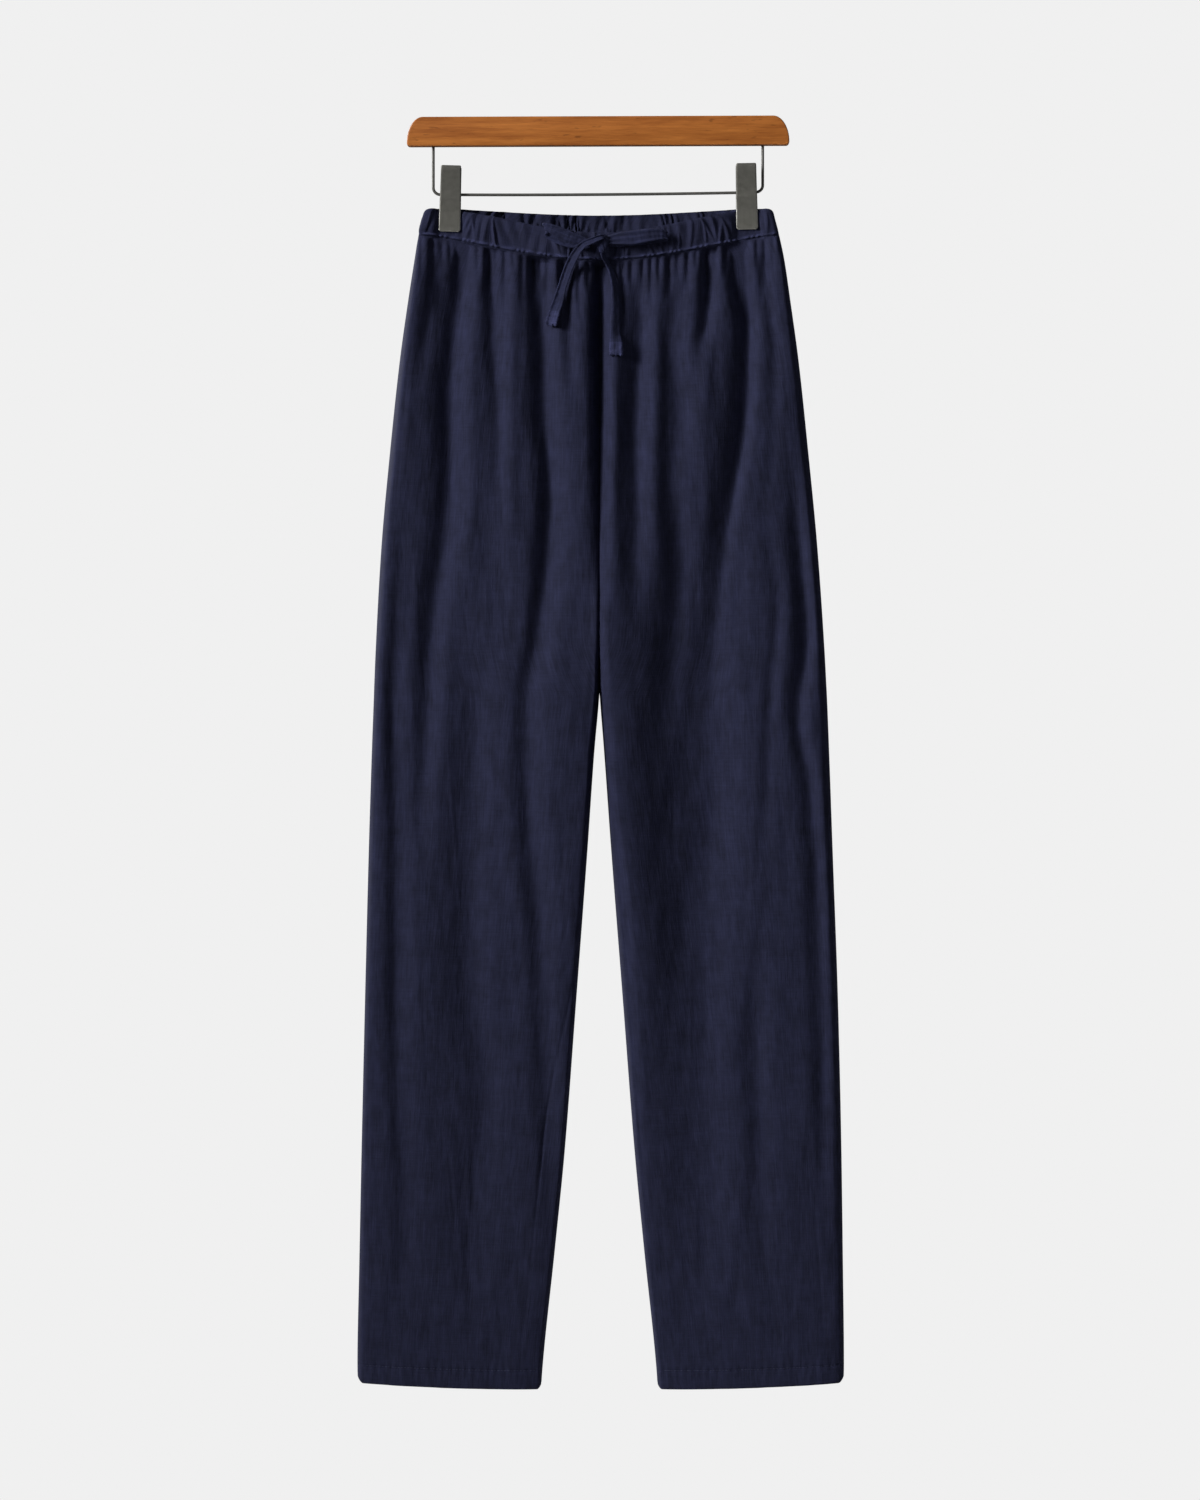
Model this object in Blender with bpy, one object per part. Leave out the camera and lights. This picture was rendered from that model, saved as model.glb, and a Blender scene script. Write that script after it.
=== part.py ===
"""Linen drawstring trousers, held flat by two clips under a wooden bar hanger.

The origin is the middle of the bar's top face. X runs to the viewer's right, the front of
the trousers faces -Y and Z is up, so each height is written as a drop below the bar's top.
Sizes are in metres. Left and right are the viewer's.
"""
import bisect
import math
from collections import namedtuple

import bmesh
import bpy
from mathutils import Matrix, Vector

# Wooden bar
BAR_LENGTH = 0.344
BAR_HEIGHT = 0.0270
BAR_DEPTH = 0.0140
BAR_SHOULDER_RUN = 0.0145
BAR_SHOULDER_FALL = 0.0232
BAR_LOWER_ROUND = 0.0030
BAR_EDGE_ROUND = 0.0010

# Steel rail under the bar
RAIL_RADIUS = 0.0013
RAIL_HALF_SPAN = 0.1482
RAIL_DROP = 0.0697
RAIL_SAG = 0.0010
RAIL_TILT = 0.0011
RAIL_BEND = 0.0063
RAIL_SOCKET = 0.0100

# Sheet-metal clips on the rail, and the coil spring between each one's plates
CLIP_PLATE = 0.0010
CLIP_EAR_OFFSET = 0.0076
CLIP_EAR_REACH = 0.0030
CLIP_EAR_HALF_HEIGHT = 0.0040
SPRING_WIRE = 0.0004
SPRING_TURNS = 4
SPRING_LENGTH = 0.0080
SPRING_ARM = 0.0120
SPRING_SIDESTEP = 0.0010
SPRING_STEPS = 8

# Fit between neighbours, and cloth
GAP = 0.0003
CLOTH = 0.0015
BAND_CLOTH = 0.0016
HEM_EXTRA = 0.0006
TAPE = 0.0016
TAPE_FOLD = 0.0130
TAPE_FOLD_EXTRA = 1.44

# Trousers, as drops below the bar's top
CENTRE = 0.0013
BAND_TOP = 0.0850
BAND_SEAM = 0.1080
CROTCH = 0.4000
HEM = 1.1440
HEM_TURN = 0.0170
HEM_CORNER_LIFT = 0.0065
CLIP_X = 0.1335
CLIP_HALF_WIDTH = 0.0105
BAND_HALF_WIDTH = 0.1600
HIP_RELEASE = 0.1500
EDGE_DEPTH = 0.45
BAND_SIDE_DEPTH = 0.0030
CLIP_RELEASE = 0.0070
BOW_POWER = 1.3
SAG_POWER = 1.35
SAG_RELEASE = 0.1400
HEM_LIFT_REACH = 0.0800

# Gathers: puckers across each half of the waistband, and folds below it on each leg panel
PUCKERS = 50
PUCKER_HEIGHT = 0.0017
GATHERS = 14
GATHER_HEIGHT = 0.0042
GATHER_LENGTH = 0.0800
STEPS_PER_WAVE = 3
CLIP_PRESS_REACH = 0.0300
CLIP_PRESSED = 0.35

# The front sags between the clips more than the back: top edge, seam and forward bow
Sag = namedtuple("Sag", "side top seam bow")
SAG = {
    "front": Sag(-1.0, 0.0212, 0.0232, 0.0200),
    "back": Sag(1.0, 0.0042, 0.0060, 0.0150),
}

# Outer edges and inseam edges of the cloth
Outline = namedtuple("Outline", "drop left right inseam_left inseam_right")
OUTLINE = (
    Outline(0.085, -0.1556, 0.1560, CENTRE, CENTRE),
    Outline(0.108, -0.1616, 0.1624, CENTRE, CENTRE),
    Outline(0.130, -0.1652, 0.1670, CENTRE, CENTRE),
    Outline(0.166, -0.1708, 0.1723, CENTRE, CENTRE),
    Outline(0.220, -0.1783, 0.1797, CENTRE, CENTRE),
    Outline(0.301, -0.1870, 0.1883, CENTRE, CENTRE),
    Outline(0.391, -0.1951, 0.1969, CENTRE, CENTRE),
    Outline(0.481, -0.2001, 0.2031, CENTRE, CENTRE),
    Outline(0.517, -0.2015, 0.2050, CENTRE, CENTRE),
    Outline(0.571, -0.2035, 0.2072, -0.0035, 0.0057),
    Outline(0.661, -0.2063, 0.2104, -0.0098, 0.0122),
    Outline(0.796, -0.2097, 0.2152, -0.0199, 0.0227),
    Outline(0.931, -0.2128, 0.2183, -0.0302, 0.0332),
    Outline(1.021, -0.2146, 0.2195, -0.0392, 0.0419),
    Outline(1.129, -0.2165, 0.2206, -0.0504, 0.0530),
    Outline(1.146, -0.2163, 0.2204, -0.0515, 0.0541),
)

# How far front and back stand from the middle plane, the run of the rounded outer edge and
# inner edge, and how far the groove over the centre seam has sunk back to that plane
Body = namedtuple("Body", "drop front back edge inner groove")
BODY = (
    Body(0.085, 0.022, 0.019, 0.0050, 0.010, 0.00),
    Body(0.130, 0.024, 0.022, 0.0055, 0.010, 0.06),
    Body(0.200, 0.031, 0.032, 0.0080, 0.011, 0.30),
    Body(0.300, 0.033, 0.038, 0.0105, 0.010, 0.65),
    Body(CROTCH, 0.032, 0.037, 0.0115, 0.009, 1.00),
    Body(0.550, 0.028, 0.031, 0.0115, 0.009, 1.00),
    Body(0.800, 0.025, 0.027, 0.0110, 0.010, 1.00),
    Body(1.146, 0.021, 0.022, 0.0100, 0.010, 1.00),
)

# Folds that run down the cloth: ridges have a positive height, troughs a negative one
Fold = namedtuple("Fold", "top bottom x_top x_middle x_bottom width height")
FRONT_FOLDS = (
    Fold(0.150, 0.480, -0.149, -0.148, -0.152, 0.0110, -0.0045),
    Fold(0.130, 0.420, -0.113, -0.113, -0.114, 0.0090, 0.0036),
    Fold(0.120, 0.215, -0.097, -0.096, -0.096, 0.0060, -0.0028),
    Fold(0.135, 0.400, -0.079, -0.079, -0.080, 0.0085, 0.0034),
    Fold(0.125, 0.570, -0.058, -0.052, -0.078, 0.0090, -0.0062),
    Fold(0.160, 0.520, -0.022, -0.023, -0.027, 0.0130, 0.0040),
    Fold(0.130, 0.280, -0.007, -0.006, -0.003, 0.0070, -0.0050),
    Fold(0.370, 0.680, -0.174, -0.176, -0.170, 0.0080, 0.0030),
    Fold(0.400, 0.635, -0.154, -0.158, -0.166, 0.0055, -0.0048),
    Fold(0.450, 0.680, -0.190, -0.190, -0.187, 0.0060, -0.0026),
    Fold(0.400, 0.980, -0.092, -0.090, -0.085, 0.0140, 0.0045),
    Fold(0.600, 0.920, -0.145, -0.146, -0.144, 0.0080, 0.0028),
    Fold(0.600, 0.900, -0.063, -0.061, -0.066, 0.0130, -0.0042),
    Fold(0.580, 0.800, -0.034, -0.034, -0.040, 0.0090, 0.0024),
    Fold(0.880, 1.130, -0.150, -0.147, -0.150, 0.0160, -0.0026),
    Fold(0.180, 0.450, 0.010, 0.011, 0.013, 0.0070, 0.0020),
    Fold(0.130, 0.390, 0.030, 0.030, 0.032, 0.0080, -0.0046),
    Fold(0.130, 0.400, 0.056, 0.044, 0.050, 0.0090, 0.0034),
    Fold(0.165, 0.430, 0.066, 0.066, 0.064, 0.0080, -0.0034),
    Fold(0.135, 0.430, 0.092, 0.081, 0.080, 0.0085, 0.0040),
    Fold(0.130, 0.390, 0.126, 0.121, 0.110, 0.0080, -0.0070),
    Fold(0.150, 0.500, 0.139, 0.139, 0.122, 0.0090, 0.0050),
    Fold(0.420, 1.120, 0.128, 0.109, 0.106, 0.0110, 0.0046),
    Fold(0.320, 0.640, 0.174, 0.173, 0.174, 0.0070, -0.0048),
    Fold(0.520, 0.860, 0.066, 0.064, 0.068, 0.0230, -0.0044),
    Fold(0.760, 1.120, 0.168, 0.166, 0.170, 0.0150, -0.0026),
)
BACK_FOLDS = (
    Fold(0.130, 0.430, -0.143, -0.141, -0.146, 0.0100, 0.0042),
    Fold(0.125, 0.360, -0.118, -0.119, -0.124, 0.0080, -0.0046),
    Fold(0.130, 0.460, -0.092, -0.088, -0.084, 0.0100, 0.0040),
    Fold(0.125, 0.400, -0.064, -0.060, -0.058, 0.0085, -0.0052),
    Fold(0.150, 0.440, -0.036, -0.033, -0.036, 0.0110, 0.0038),
    Fold(0.440, 0.900, -0.120, -0.112, -0.106, 0.0140, 0.0044),
    Fold(0.470, 0.820, -0.164, -0.160, -0.158, 0.0100, -0.0040),
    Fold(0.560, 0.980, -0.058, -0.066, -0.072, 0.0130, -0.0038),
    Fold(0.900, 1.130, -0.162, -0.158, -0.156, 0.0140, 0.0026),
    Fold(0.140, 0.420, 0.028, 0.030, 0.026, 0.0100, 0.0036),
    Fold(0.125, 0.380, 0.052, 0.056, 0.060, 0.0085, -0.0050),
    Fold(0.130, 0.470, 0.080, 0.084, 0.088, 0.0100, 0.0042),
    Fold(0.125, 0.370, 0.108, 0.112, 0.118, 0.0080, -0.0044),
    Fold(0.140, 0.450, 0.138, 0.142, 0.146, 0.0100, 0.0040),
    Fold(0.430, 0.920, 0.102, 0.110, 0.112, 0.0140, 0.0046),
    Fold(0.460, 0.800, 0.156, 0.160, 0.158, 0.0100, -0.0040),
    Fold(0.580, 1.000, 0.060, 0.066, 0.078, 0.0130, -0.0038),
    Fold(0.880, 1.130, 0.160, 0.156, 0.162, 0.0140, 0.0026),
)
FOLDS = {"front": FRONT_FOLDS, "back": BACK_FOLDS}

# Heights of the panels' rows: close together under the gathers, wider apart below
GATHER_ROWS = (0.0, 0.010, 0.030, 0.060, 0.100)
BROAD_ROWS = (0.246, 0.290, 0.335, 0.380, 0.415, 0.465, 0.515, 0.575, 0.650, 0.735,
              0.825, 0.915, 1.005, 1.080, HEM - HEM_TURN)
BROAD_FACE = 15
EDGE_STEPS = 3
BAND_INNER_FACE = 36

# Clip plates: height above the rail, distance from the middle plane, half width
PlateRow = namedtuple("PlateRow", "rise out half_width")
HANDLE_TOP = PlateRow(0.0225, 0.0086, 0.0091)
HANDLE_FOOT = PlateRow(0.0040, 0.0048, 0.0093)
JAW_TOP = PlateRow(-0.0040, 0.0042, 0.0095)
PLATE = (
    PlateRow(0.0240, 0.0086, 0.0087),
    HANDLE_TOP,
    HANDLE_FOOT,
    JAW_TOP,
    PlateRow(-0.0160, 0.0026, 0.0097),
    PlateRow(-0.0315, 0.0026, 0.0099),
    PlateRow(-0.0335, 0.0029, 0.0099),
    PlateRow(-0.0350, 0.0036, 0.0091),
)
Clip = namedtuple("Clip", "name x tilt_degrees")
CLIPS = (
    Clip("clip_left", -0.1327, 1.6),
    Clip("clip_right", 0.1336, -1.1),
)

# Drawstring: places on its centre line, how far it is lifted off the cloth, and its width
Lay = namedtuple("Lay", "x drop lift width")
LOOP_LEFT = (
    Lay(-0.0068, 0.1158, 0.0042, 0.0090),
    Lay(-0.0150, 0.1148, 0.0050, 0.0105),
    Lay(-0.0240, 0.1124, 0.0054, 0.0130),
    Lay(-0.0330, 0.1095, 0.0052, 0.0150),
    Lay(-0.0410, 0.1066, 0.0048, 0.0165),
    Lay(-0.0458, 0.1052, 0.0038, 0.0168),
    Lay(-0.0470, 0.1050, 0.0026, 0.0168),
    Lay(-0.0455, 0.1056, 0.0014, 0.0168),
    Lay(-0.0400, 0.1082, 0.0010, 0.0155),
    Lay(-0.0320, 0.1118, 0.0010, 0.0130),
    Lay(-0.0230, 0.1150, 0.0010, 0.0110),
    Lay(-0.0140, 0.1170, 0.0010, 0.0090),
    Lay(-0.0074, 0.1174, 0.0012, 0.0080),
)
LOOP_RIGHT = (
    Lay(0.0100, 0.1150, 0.0046, 0.0068),
    Lay(0.0180, 0.1128, 0.0056, 0.0095),
    Lay(0.0280, 0.1112, 0.0060, 0.0128),
    Lay(0.0380, 0.1100, 0.0058, 0.0142),
    Lay(0.0480, 0.1092, 0.0054, 0.0146),
    Lay(0.0560, 0.1090, 0.0046, 0.0138),
    Lay(0.0594, 0.1092, 0.0032, 0.0130),
    Lay(0.0580, 0.1098, 0.0016, 0.0130),
    Lay(0.0500, 0.1106, 0.0010, 0.0130),
    Lay(0.0380, 0.1118, 0.0010, 0.0124),
    Lay(0.0260, 0.1132, 0.0010, 0.0110),
    Lay(0.0160, 0.1146, 0.0010, 0.0090),
    Lay(0.0102, 0.1160, 0.0014, 0.0070),
)
TAIL_LEFT = (
    Lay(-0.0058, 0.1118, 0.0082, 0.0060),
    Lay(-0.0130, 0.1138, 0.0088, 0.0074),
    Lay(-0.0190, 0.1188, 0.0086, 0.0086),
    Lay(-0.0232, 0.1255, 0.0072, 0.0092),
    Lay(-0.0262, 0.1330, 0.0052, 0.0092),
    Lay(-0.0290, 0.1420, 0.0036, 0.0084),
    Lay(-0.0322, 0.1520, 0.0026, 0.0084),
    Lay(-0.0354, 0.1630, 0.0022, 0.0098),
    Lay(-0.0388, 0.1740, 0.0022, 0.0112),
    Lay(-0.0418, 0.1842, 0.0024, 0.0116),
    Lay(-0.0436, 0.1904, 0.0024, 0.0116),
)
TAIL_RIGHT = (
    Lay(0.0030, 0.1262, 0.0046, 0.0050),
    Lay(0.0072, 0.1345, 0.0042, 0.0056),
    Lay(0.0098, 0.1420, 0.0040, 0.0072),
    Lay(0.0120, 0.1510, 0.0034, 0.0092),
    Lay(0.0134, 0.1610, 0.0028, 0.0104),
    Lay(0.0146, 0.1720, 0.0024, 0.0110),
    Lay(0.0156, 0.1830, 0.0022, 0.0112),
    Lay(0.0166, 0.1940, 0.0022, 0.0112),
    Lay(0.0172, 0.2050, 0.0024, 0.0114),
    Lay(0.0174, 0.2180, 0.0026, 0.0114),
)
KNOT = Lay(0.0018, 0.1172, 0.0052, 0.0165)
KNOT_HEIGHT = 0.0170
KNOT_DEPTH = 0.0078

# Finishes: colour, roughness, metallic
Finish = namedtuple("Finish", "colour roughness metallic")
LINEN = Finish((0.0150, 0.0165, 0.0460), 0.92, 0.0)
TAPE_LINEN = Finish((0.0190, 0.0205, 0.0540), 0.90, 0.0)
WOOD = Finish((0.3300, 0.1130, 0.0290), 0.38, 0.0)
STEEL = Finish((0.3600, 0.3600, 0.3500), 0.35, 1.0)
PAINTED_STEEL = Finish((0.0980, 0.0960, 0.0870), 0.50, 0.6)


def mix(start, end, share):
    """Value a share of the way from start to end."""
    return start + (end - start) * share


def smooth(share):
    """Ease from 0 to 1, level at both ends."""
    share = min(max(share, 0.0), 1.0)
    return share * share * (3.0 - 2.0 * share)


def read(table, column, drop):
    """A table's column at a drop, on a smooth curve that never leaves its rows' range."""
    drops = [row.drop for row in table]
    values = [getattr(row, column) for row in table]
    if drop <= drops[0]:
        return values[0]
    if drop >= drops[-1]:
        return values[-1]
    slopes = [(values[i + 1] - values[i]) / (drops[i + 1] - drops[i]) for i in range(len(table) - 1)]

    def tangent(row):
        if row == 0 or row == len(slopes):
            return slopes[min(row, len(slopes) - 1)]
        before, after = slopes[row - 1], slopes[row]
        return 2.0 * before * after / (before + after) if before * after > 0.0 else 0.0

    row = bisect.bisect_right(drops, drop) - 1
    span = drops[row + 1] - drops[row]
    t = (drop - drops[row]) / span
    rise = mix(values[row], values[row + 1], smooth(t))
    start_turn = tangent(row) * span * t * (1.0 - t) ** 2
    end_turn = tangent(row + 1) * span * t * t * (1.0 - t)
    return rise + start_turn - end_turn


def fold_relief(face, x, drop):
    """Sum of the folds that cross this place on the front or back."""
    relief = 0.0
    for fold in FOLDS[face]:
        t = (drop - fold.top) / (fold.bottom - fold.top)
        if 0.0 < t < 1.0:
            upper = fold.x_top * (1.0 - t) * (1.0 - 2.0 * t)
            middle = 4.0 * fold.x_middle * t * (1.0 - t)
            lower = fold.x_bottom * t * (2.0 * t - 1.0)
            away = (x - upper - middle - lower) / fold.width
            fade = smooth(t / 0.22) * smooth((1.0 - t) / 0.28)
            relief += fold.height * fade * math.exp(-away * away)
    return relief


def centre_share(x):
    """1 over the centre seam, 0 at the band's corners."""
    return math.cos(math.pi / 2.0 * min(abs(x - CENTRE) / BAND_HALF_WIDTH, 1.0))


def pinched_depth(face, x):
    """Depth of the waistband's inner face: pinched by the clips and bowed between them."""
    pinch = GAP / 2.0
    away = abs(x - CENTRE)
    inner = CLIP_X - CLIP_HALF_WIDTH
    outer = CLIP_X + CLIP_HALF_WIDTH
    if away < inner:
        return pinch + SAG[face].bow * (1.0 - (away / inner) ** 2) ** BOW_POWER
    return pinch + BAND_SIDE_DEPTH * smooth((away - outer) / CLIP_RELEASE)


def seam_sag(face, x):
    """How far the waistband seam hangs below its ends."""
    return SAG[face].seam * centre_share(x) ** SAG_POWER


def sag_share(nominal):
    """How much of the seam's sag a row below it follows: all at the seam, none further down."""
    return 1.0 - smooth((nominal - BAND_SEAM) / SAG_RELEASE)


def crown(side_run, trunk_run, groove):
    """Share of the full depth: least at the cloth's edges, most at its middle."""
    leg = math.sin(math.pi * min(max(side_run, 0.0), 1.0)) ** 0.8
    trunk = math.cos(math.pi / 2.0 * min(abs(trunk_run), 1.0)) ** 0.8
    return mix(EDGE_DEPTH, 1.0, mix(trunk, leg, groove))


def hang_share(drop):
    """0 at the waistband seam, 1 where the cloth hangs free of the clips' pinch."""
    return smooth((drop - BAND_SEAM) / HIP_RELEASE)


def cloth_depth(face, x, drop):
    """Depth of the cloth's outer face away from its edges."""
    side = "left" if x < CENTRE else "right"
    edge_x = read(OUTLINE, side, drop)
    inner_x = read(OUTLINE, "inseam_" + side, drop)
    leg_run = (x - edge_x) / (inner_x - edge_x)
    trunk_run = (x - CENTRE) / (edge_x - CENTRE)
    hung = read(BODY, face, drop) * crown(leg_run, trunk_run, read(BODY, "groove", drop))
    pinched = pinched_depth(face, x) + CLOTH
    return mix(pinched, hung, hang_share(drop)) + fold_relief(face, x, drop)


def uneven(share):
    """Move evenly spaced gathers a little, so that no two are alike."""
    drift = 0.011 * math.sin(20.7 * share + 0.6) + 0.006 * math.sin(47.0 * share + 2.0)
    return share + drift * math.sin(math.pi * share)


def gather_height(share, drop):
    """Height of the gathers below the waistband seam, across a panel's face."""
    crest = 0.5 + 0.5 * math.cos(2.0 * math.pi * GATHERS * share)
    vary = 0.72 + 0.28 * math.sin(23.0 * share + 1.1)
    length = GATHER_LENGTH * (1.0 + 0.35 * math.sin(31.0 * share))
    below = max(drop - BAND_SEAM, 0.0)
    grow = 0.35 + 0.65 * smooth(below / 0.012)
    return GATHER_HEIGHT * crest * vary * grow * math.exp(-(below / length) ** 1.6)


def hem_share(nominal):
    """0 down to the hem's stitching, 1 below it."""
    return smooth((nominal - (HEM - HEM_TURN)) / 0.0015)


def stations(count):
    """Steps across a panel: 0 to 1 round the outer edge, 1 to 2 over the face, 2 to 3 round the inner."""
    edge = [step / EDGE_STEPS for step in range(EDGE_STEPS)]
    face = [1.0 + step / count for step in range(count + 1)]
    inner = [3.0 - step for step in reversed(edge)]
    return edge + face + inner


def panel_place(side, face, station, nominal):
    """Outer-face point of a leg panel, as x, depth and drop."""
    edge_x = read(OUTLINE, side, nominal)
    inner_x = read(OUTLINE, "inseam_" + side, nominal)
    inward = 1.0 if side == "left" else -1.0
    inner_x -= inward * GAP / 2.0
    width = abs(inner_x - edge_x)
    edge_run = read(BODY, "edge", nominal)
    inner_run = read(BODY, "inner", nominal)
    turn = math.sin(min(station, 1.0) * math.pi / 2.0)
    close = math.sin(min(3.0 - station, 1.0) * math.pi / 2.0)
    share = min(max(station - 1.0, 0.0), 1.0)
    if station < 1.0:
        run = edge_run * (1.0 - math.cos(station * math.pi / 2.0))
    elif station > 2.0:
        run = width - inner_run * (1.0 - math.cos((3.0 - station) * math.pi / 2.0))
    else:
        run = mix(edge_run, width - inner_run, uneven(share))
    x = edge_x + inward * run
    loose = smooth(abs(abs(x - CENTRE) - CLIP_X) / CLIP_PRESS_REACH)
    gathered = gather_height(share, nominal) * mix(CLIP_PRESSED, 1.0, max(loose, hang_share(nominal)))
    depth = cloth_depth(face, x, nominal) + gathered + HEM_EXTRA * hem_share(nominal)
    depth *= turn * mix(1.0, close, read(BODY, "groove", nominal))
    drop = nominal + seam_sag(face, x) * sag_share(nominal)
    lift = 0.62 * (1.0 - share) ** 2 + 0.38 * (1.0 - turn)
    drop -= HEM_CORNER_LIFT * lift * smooth((nominal - HEM) / HEM_LIFT_REACH + 1.0)
    return x, max(depth, GAP / 2.0), drop


def inward_normals(row, flip, start, end):
    """Unit normals in the XY plane that point into the cloth's hollow, with the end ones given."""
    normals = [start]
    for before, after in zip(row, row[2:]):
        along = after - before
        normals.append(flip * Vector((-along.y, along.x, 0.0)).normalized())
    return normals + [end]


def panel_row(side, face, nominal, count):
    """One row of a leg panel: its outer points and the points a cloth's thickness inside."""
    outer_way = SAG[face].side
    inward = 1.0 if side == "left" else -1.0
    outer = []
    for station in stations(count):
        x, depth, drop = panel_place(side, face, station, nominal)
        outer.append(Vector((x, outer_way * depth, -drop)))
    tuck = read(BODY, "groove", nominal) * math.pi / 2.0
    start = Vector((inward, 0.0, 0.0))
    end = Vector((-inward * math.sin(tuck), -outer_way * math.cos(tuck), 0.0))
    normals = inward_normals(outer, -inward * outer_way, start, end)
    thickness = CLOTH + HEM_EXTRA * 2.0 * hem_share(nominal)
    return outer, step_in(outer, normals, thickness, outer_way)


def step_in(row, normals, thickness, way):
    """A row moved in by the cloth's thickness, kept on its own side of the middle plane."""
    inner = []
    for point, normal in zip(row, normals):
        moved = point + thickness * normal
        moved.y = way * max(way * moved.y, GAP / 2.0)
        inner.append(moved)
    return inner


def even_steps(count):
    """Evenly spaced steps from 0 to 1, one for each of a row's points."""
    return [step / (count - 1) for step in range(count)]


def join_rows(mesh, upper, lower, upper_steps, lower_steps):
    """Fill between two rows of points, which may differ in number, matching their steps."""
    i = 0
    j = 0
    last_i = len(upper) - 1
    last_j = len(lower) - 1
    while i < last_i or j < last_j:
        next_i = upper_steps[min(i + 1, last_i)]
        next_j = lower_steps[min(j + 1, last_j)]
        if i < last_i and j < last_j and abs(next_i - next_j) < 1e-6:
            mesh.faces.new((upper[i], lower[j], lower[j + 1], upper[i + 1]))
            i += 1
            j += 1
        elif j == last_j or (i < last_i and next_i < next_j):
            mesh.faces.new((upper[i], lower[j], upper[i + 1]))
            i += 1
        else:
            mesh.faces.new((upper[i], lower[j], lower[j + 1]))
            j += 1


def wall(name, outer_rows, inner_rows, outer_steps, inner_steps, finish):
    """Closed sheet between an outer and an inner grid of points, with the steps of each row."""
    mesh = bmesh.new()
    outer = [[mesh.verts.new(point) for point in row] for row in outer_rows]
    inner = [[mesh.verts.new(point) for point in row] for row in inner_rows]
    for grid, steps in ((outer, outer_steps), (inner, inner_steps)):
        for index in range(len(grid) - 1):
            join_rows(mesh, grid[index], grid[index + 1], steps[index], steps[index + 1])
    for end in (0, -1):
        join_rows(mesh, outer[end], inner[end], outer_steps[end], inner_steps[end])
        outer_side = [row[end] for row in outer]
        inner_side = [row[end] for row in inner]
        join_rows(mesh, outer_side, inner_side, even_steps(len(outer)), even_steps(len(inner)))
    return add_object(name, mesh, finish)


def add_object(name, mesh, finish):
    """Turn a bmesh into a named, smooth-shaded object with its own material."""
    bmesh.ops.recalc_face_normals(mesh, faces=mesh.faces)
    data = bpy.data.meshes.new(name)
    mesh.to_mesh(data)
    mesh.free()
    data.shade_smooth()
    data.set_sharp_from_angle(angle=math.radians(60.0))
    thing = bpy.data.objects.new(name, data)
    bpy.context.collection.objects.link(thing)
    data.materials.append(make_material(name, finish))
    return thing


def make_material(name, finish):
    """Principled material in one colour."""
    material = bpy.data.materials.new(name)
    material.use_nodes = True
    shader = material.node_tree.nodes["Principled BSDF"]
    shader.inputs["Base Color"].default_value = (*finish.colour, 1.0)
    shader.inputs["Roughness"].default_value = finish.roughness
    shader.inputs["Metallic"].default_value = finish.metallic
    return material


def make_panel(side, face):
    """One leg panel, from the waistband seam to the hem."""
    rows = [(BAND_SEAM + GAP / 2.0 + step, STEPS_PER_WAVE * GATHERS) for step in GATHER_ROWS]
    rows += [(drop, BROAD_FACE) for drop in BROAD_ROWS]
    rows += [(HEM - HEM_TURN + 0.0015, BROAD_FACE), (HEM, BROAD_FACE)]
    pairs = [panel_row(side, face, nominal, count) for nominal, count in rows]
    outer = [pair[0] for pair in pairs]
    inner = [pair[1] for pair in pairs]
    steps = [stations(count) for _, count in rows]
    return wall(face + "_" + side, outer, inner, steps, steps, LINEN)


def band_place(face, station, rise):
    """Base point of the waistband: station as on a panel, rise 1 at the top edge and 0 at the seam."""
    seam_drop = BAND_SEAM - GAP / 2.0
    nominal = mix(seam_drop, BAND_TOP, rise)
    left = read(OUTLINE, "left", nominal)
    right = read(OUTLINE, "right", nominal)
    run = read(BODY, "edge", nominal)
    share = min(max(station - 1.0, 0.0), 1.0)
    if station < 1.0:
        x = left + run * (1.0 - math.cos(station * math.pi / 2.0))
    elif station > 2.0:
        x = right - run * (1.0 - math.cos((3.0 - station) * math.pi / 2.0))
    else:
        x = mix(left + run, right - run, uneven(share))
    turn = math.sin(min(station, 3.0 - station, 1.0) * math.pi / 2.0)
    depth = (pinched_depth(face, x) + BAND_CLOTH) * turn
    top = BAND_TOP + SAG[face].top * centre_share(x) ** 2
    seam = seam_drop + seam_sag(face, x)
    return Vector((x, SAG[face].side * max(depth, GAP / 2.0), -mix(seam, top, rise)))


def pucker(face, station, rise, x):
    """Height of the waistband's elastic puckers over its base."""
    share = min(max(station - 1.0, 0.0), 1.0)
    phase = 0.0 if face == "front" else 1.7
    crest = 0.5 + 0.5 * math.cos(2.0 * math.pi * PUCKERS * share)
    vary = 0.75 + 0.25 * math.sin(61.0 * share + phase)
    free = smooth((abs(abs(x - CENTRE) - CLIP_X) - 0.009) / 0.012)
    ends = math.sin(math.pi * min(max(rise, 0.0), 1.0)) ** 0.5
    return PUCKER_HEIGHT * crest * vary * mix(0.25, 1.0, ends) * mix(0.15, 1.0, free)


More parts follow.
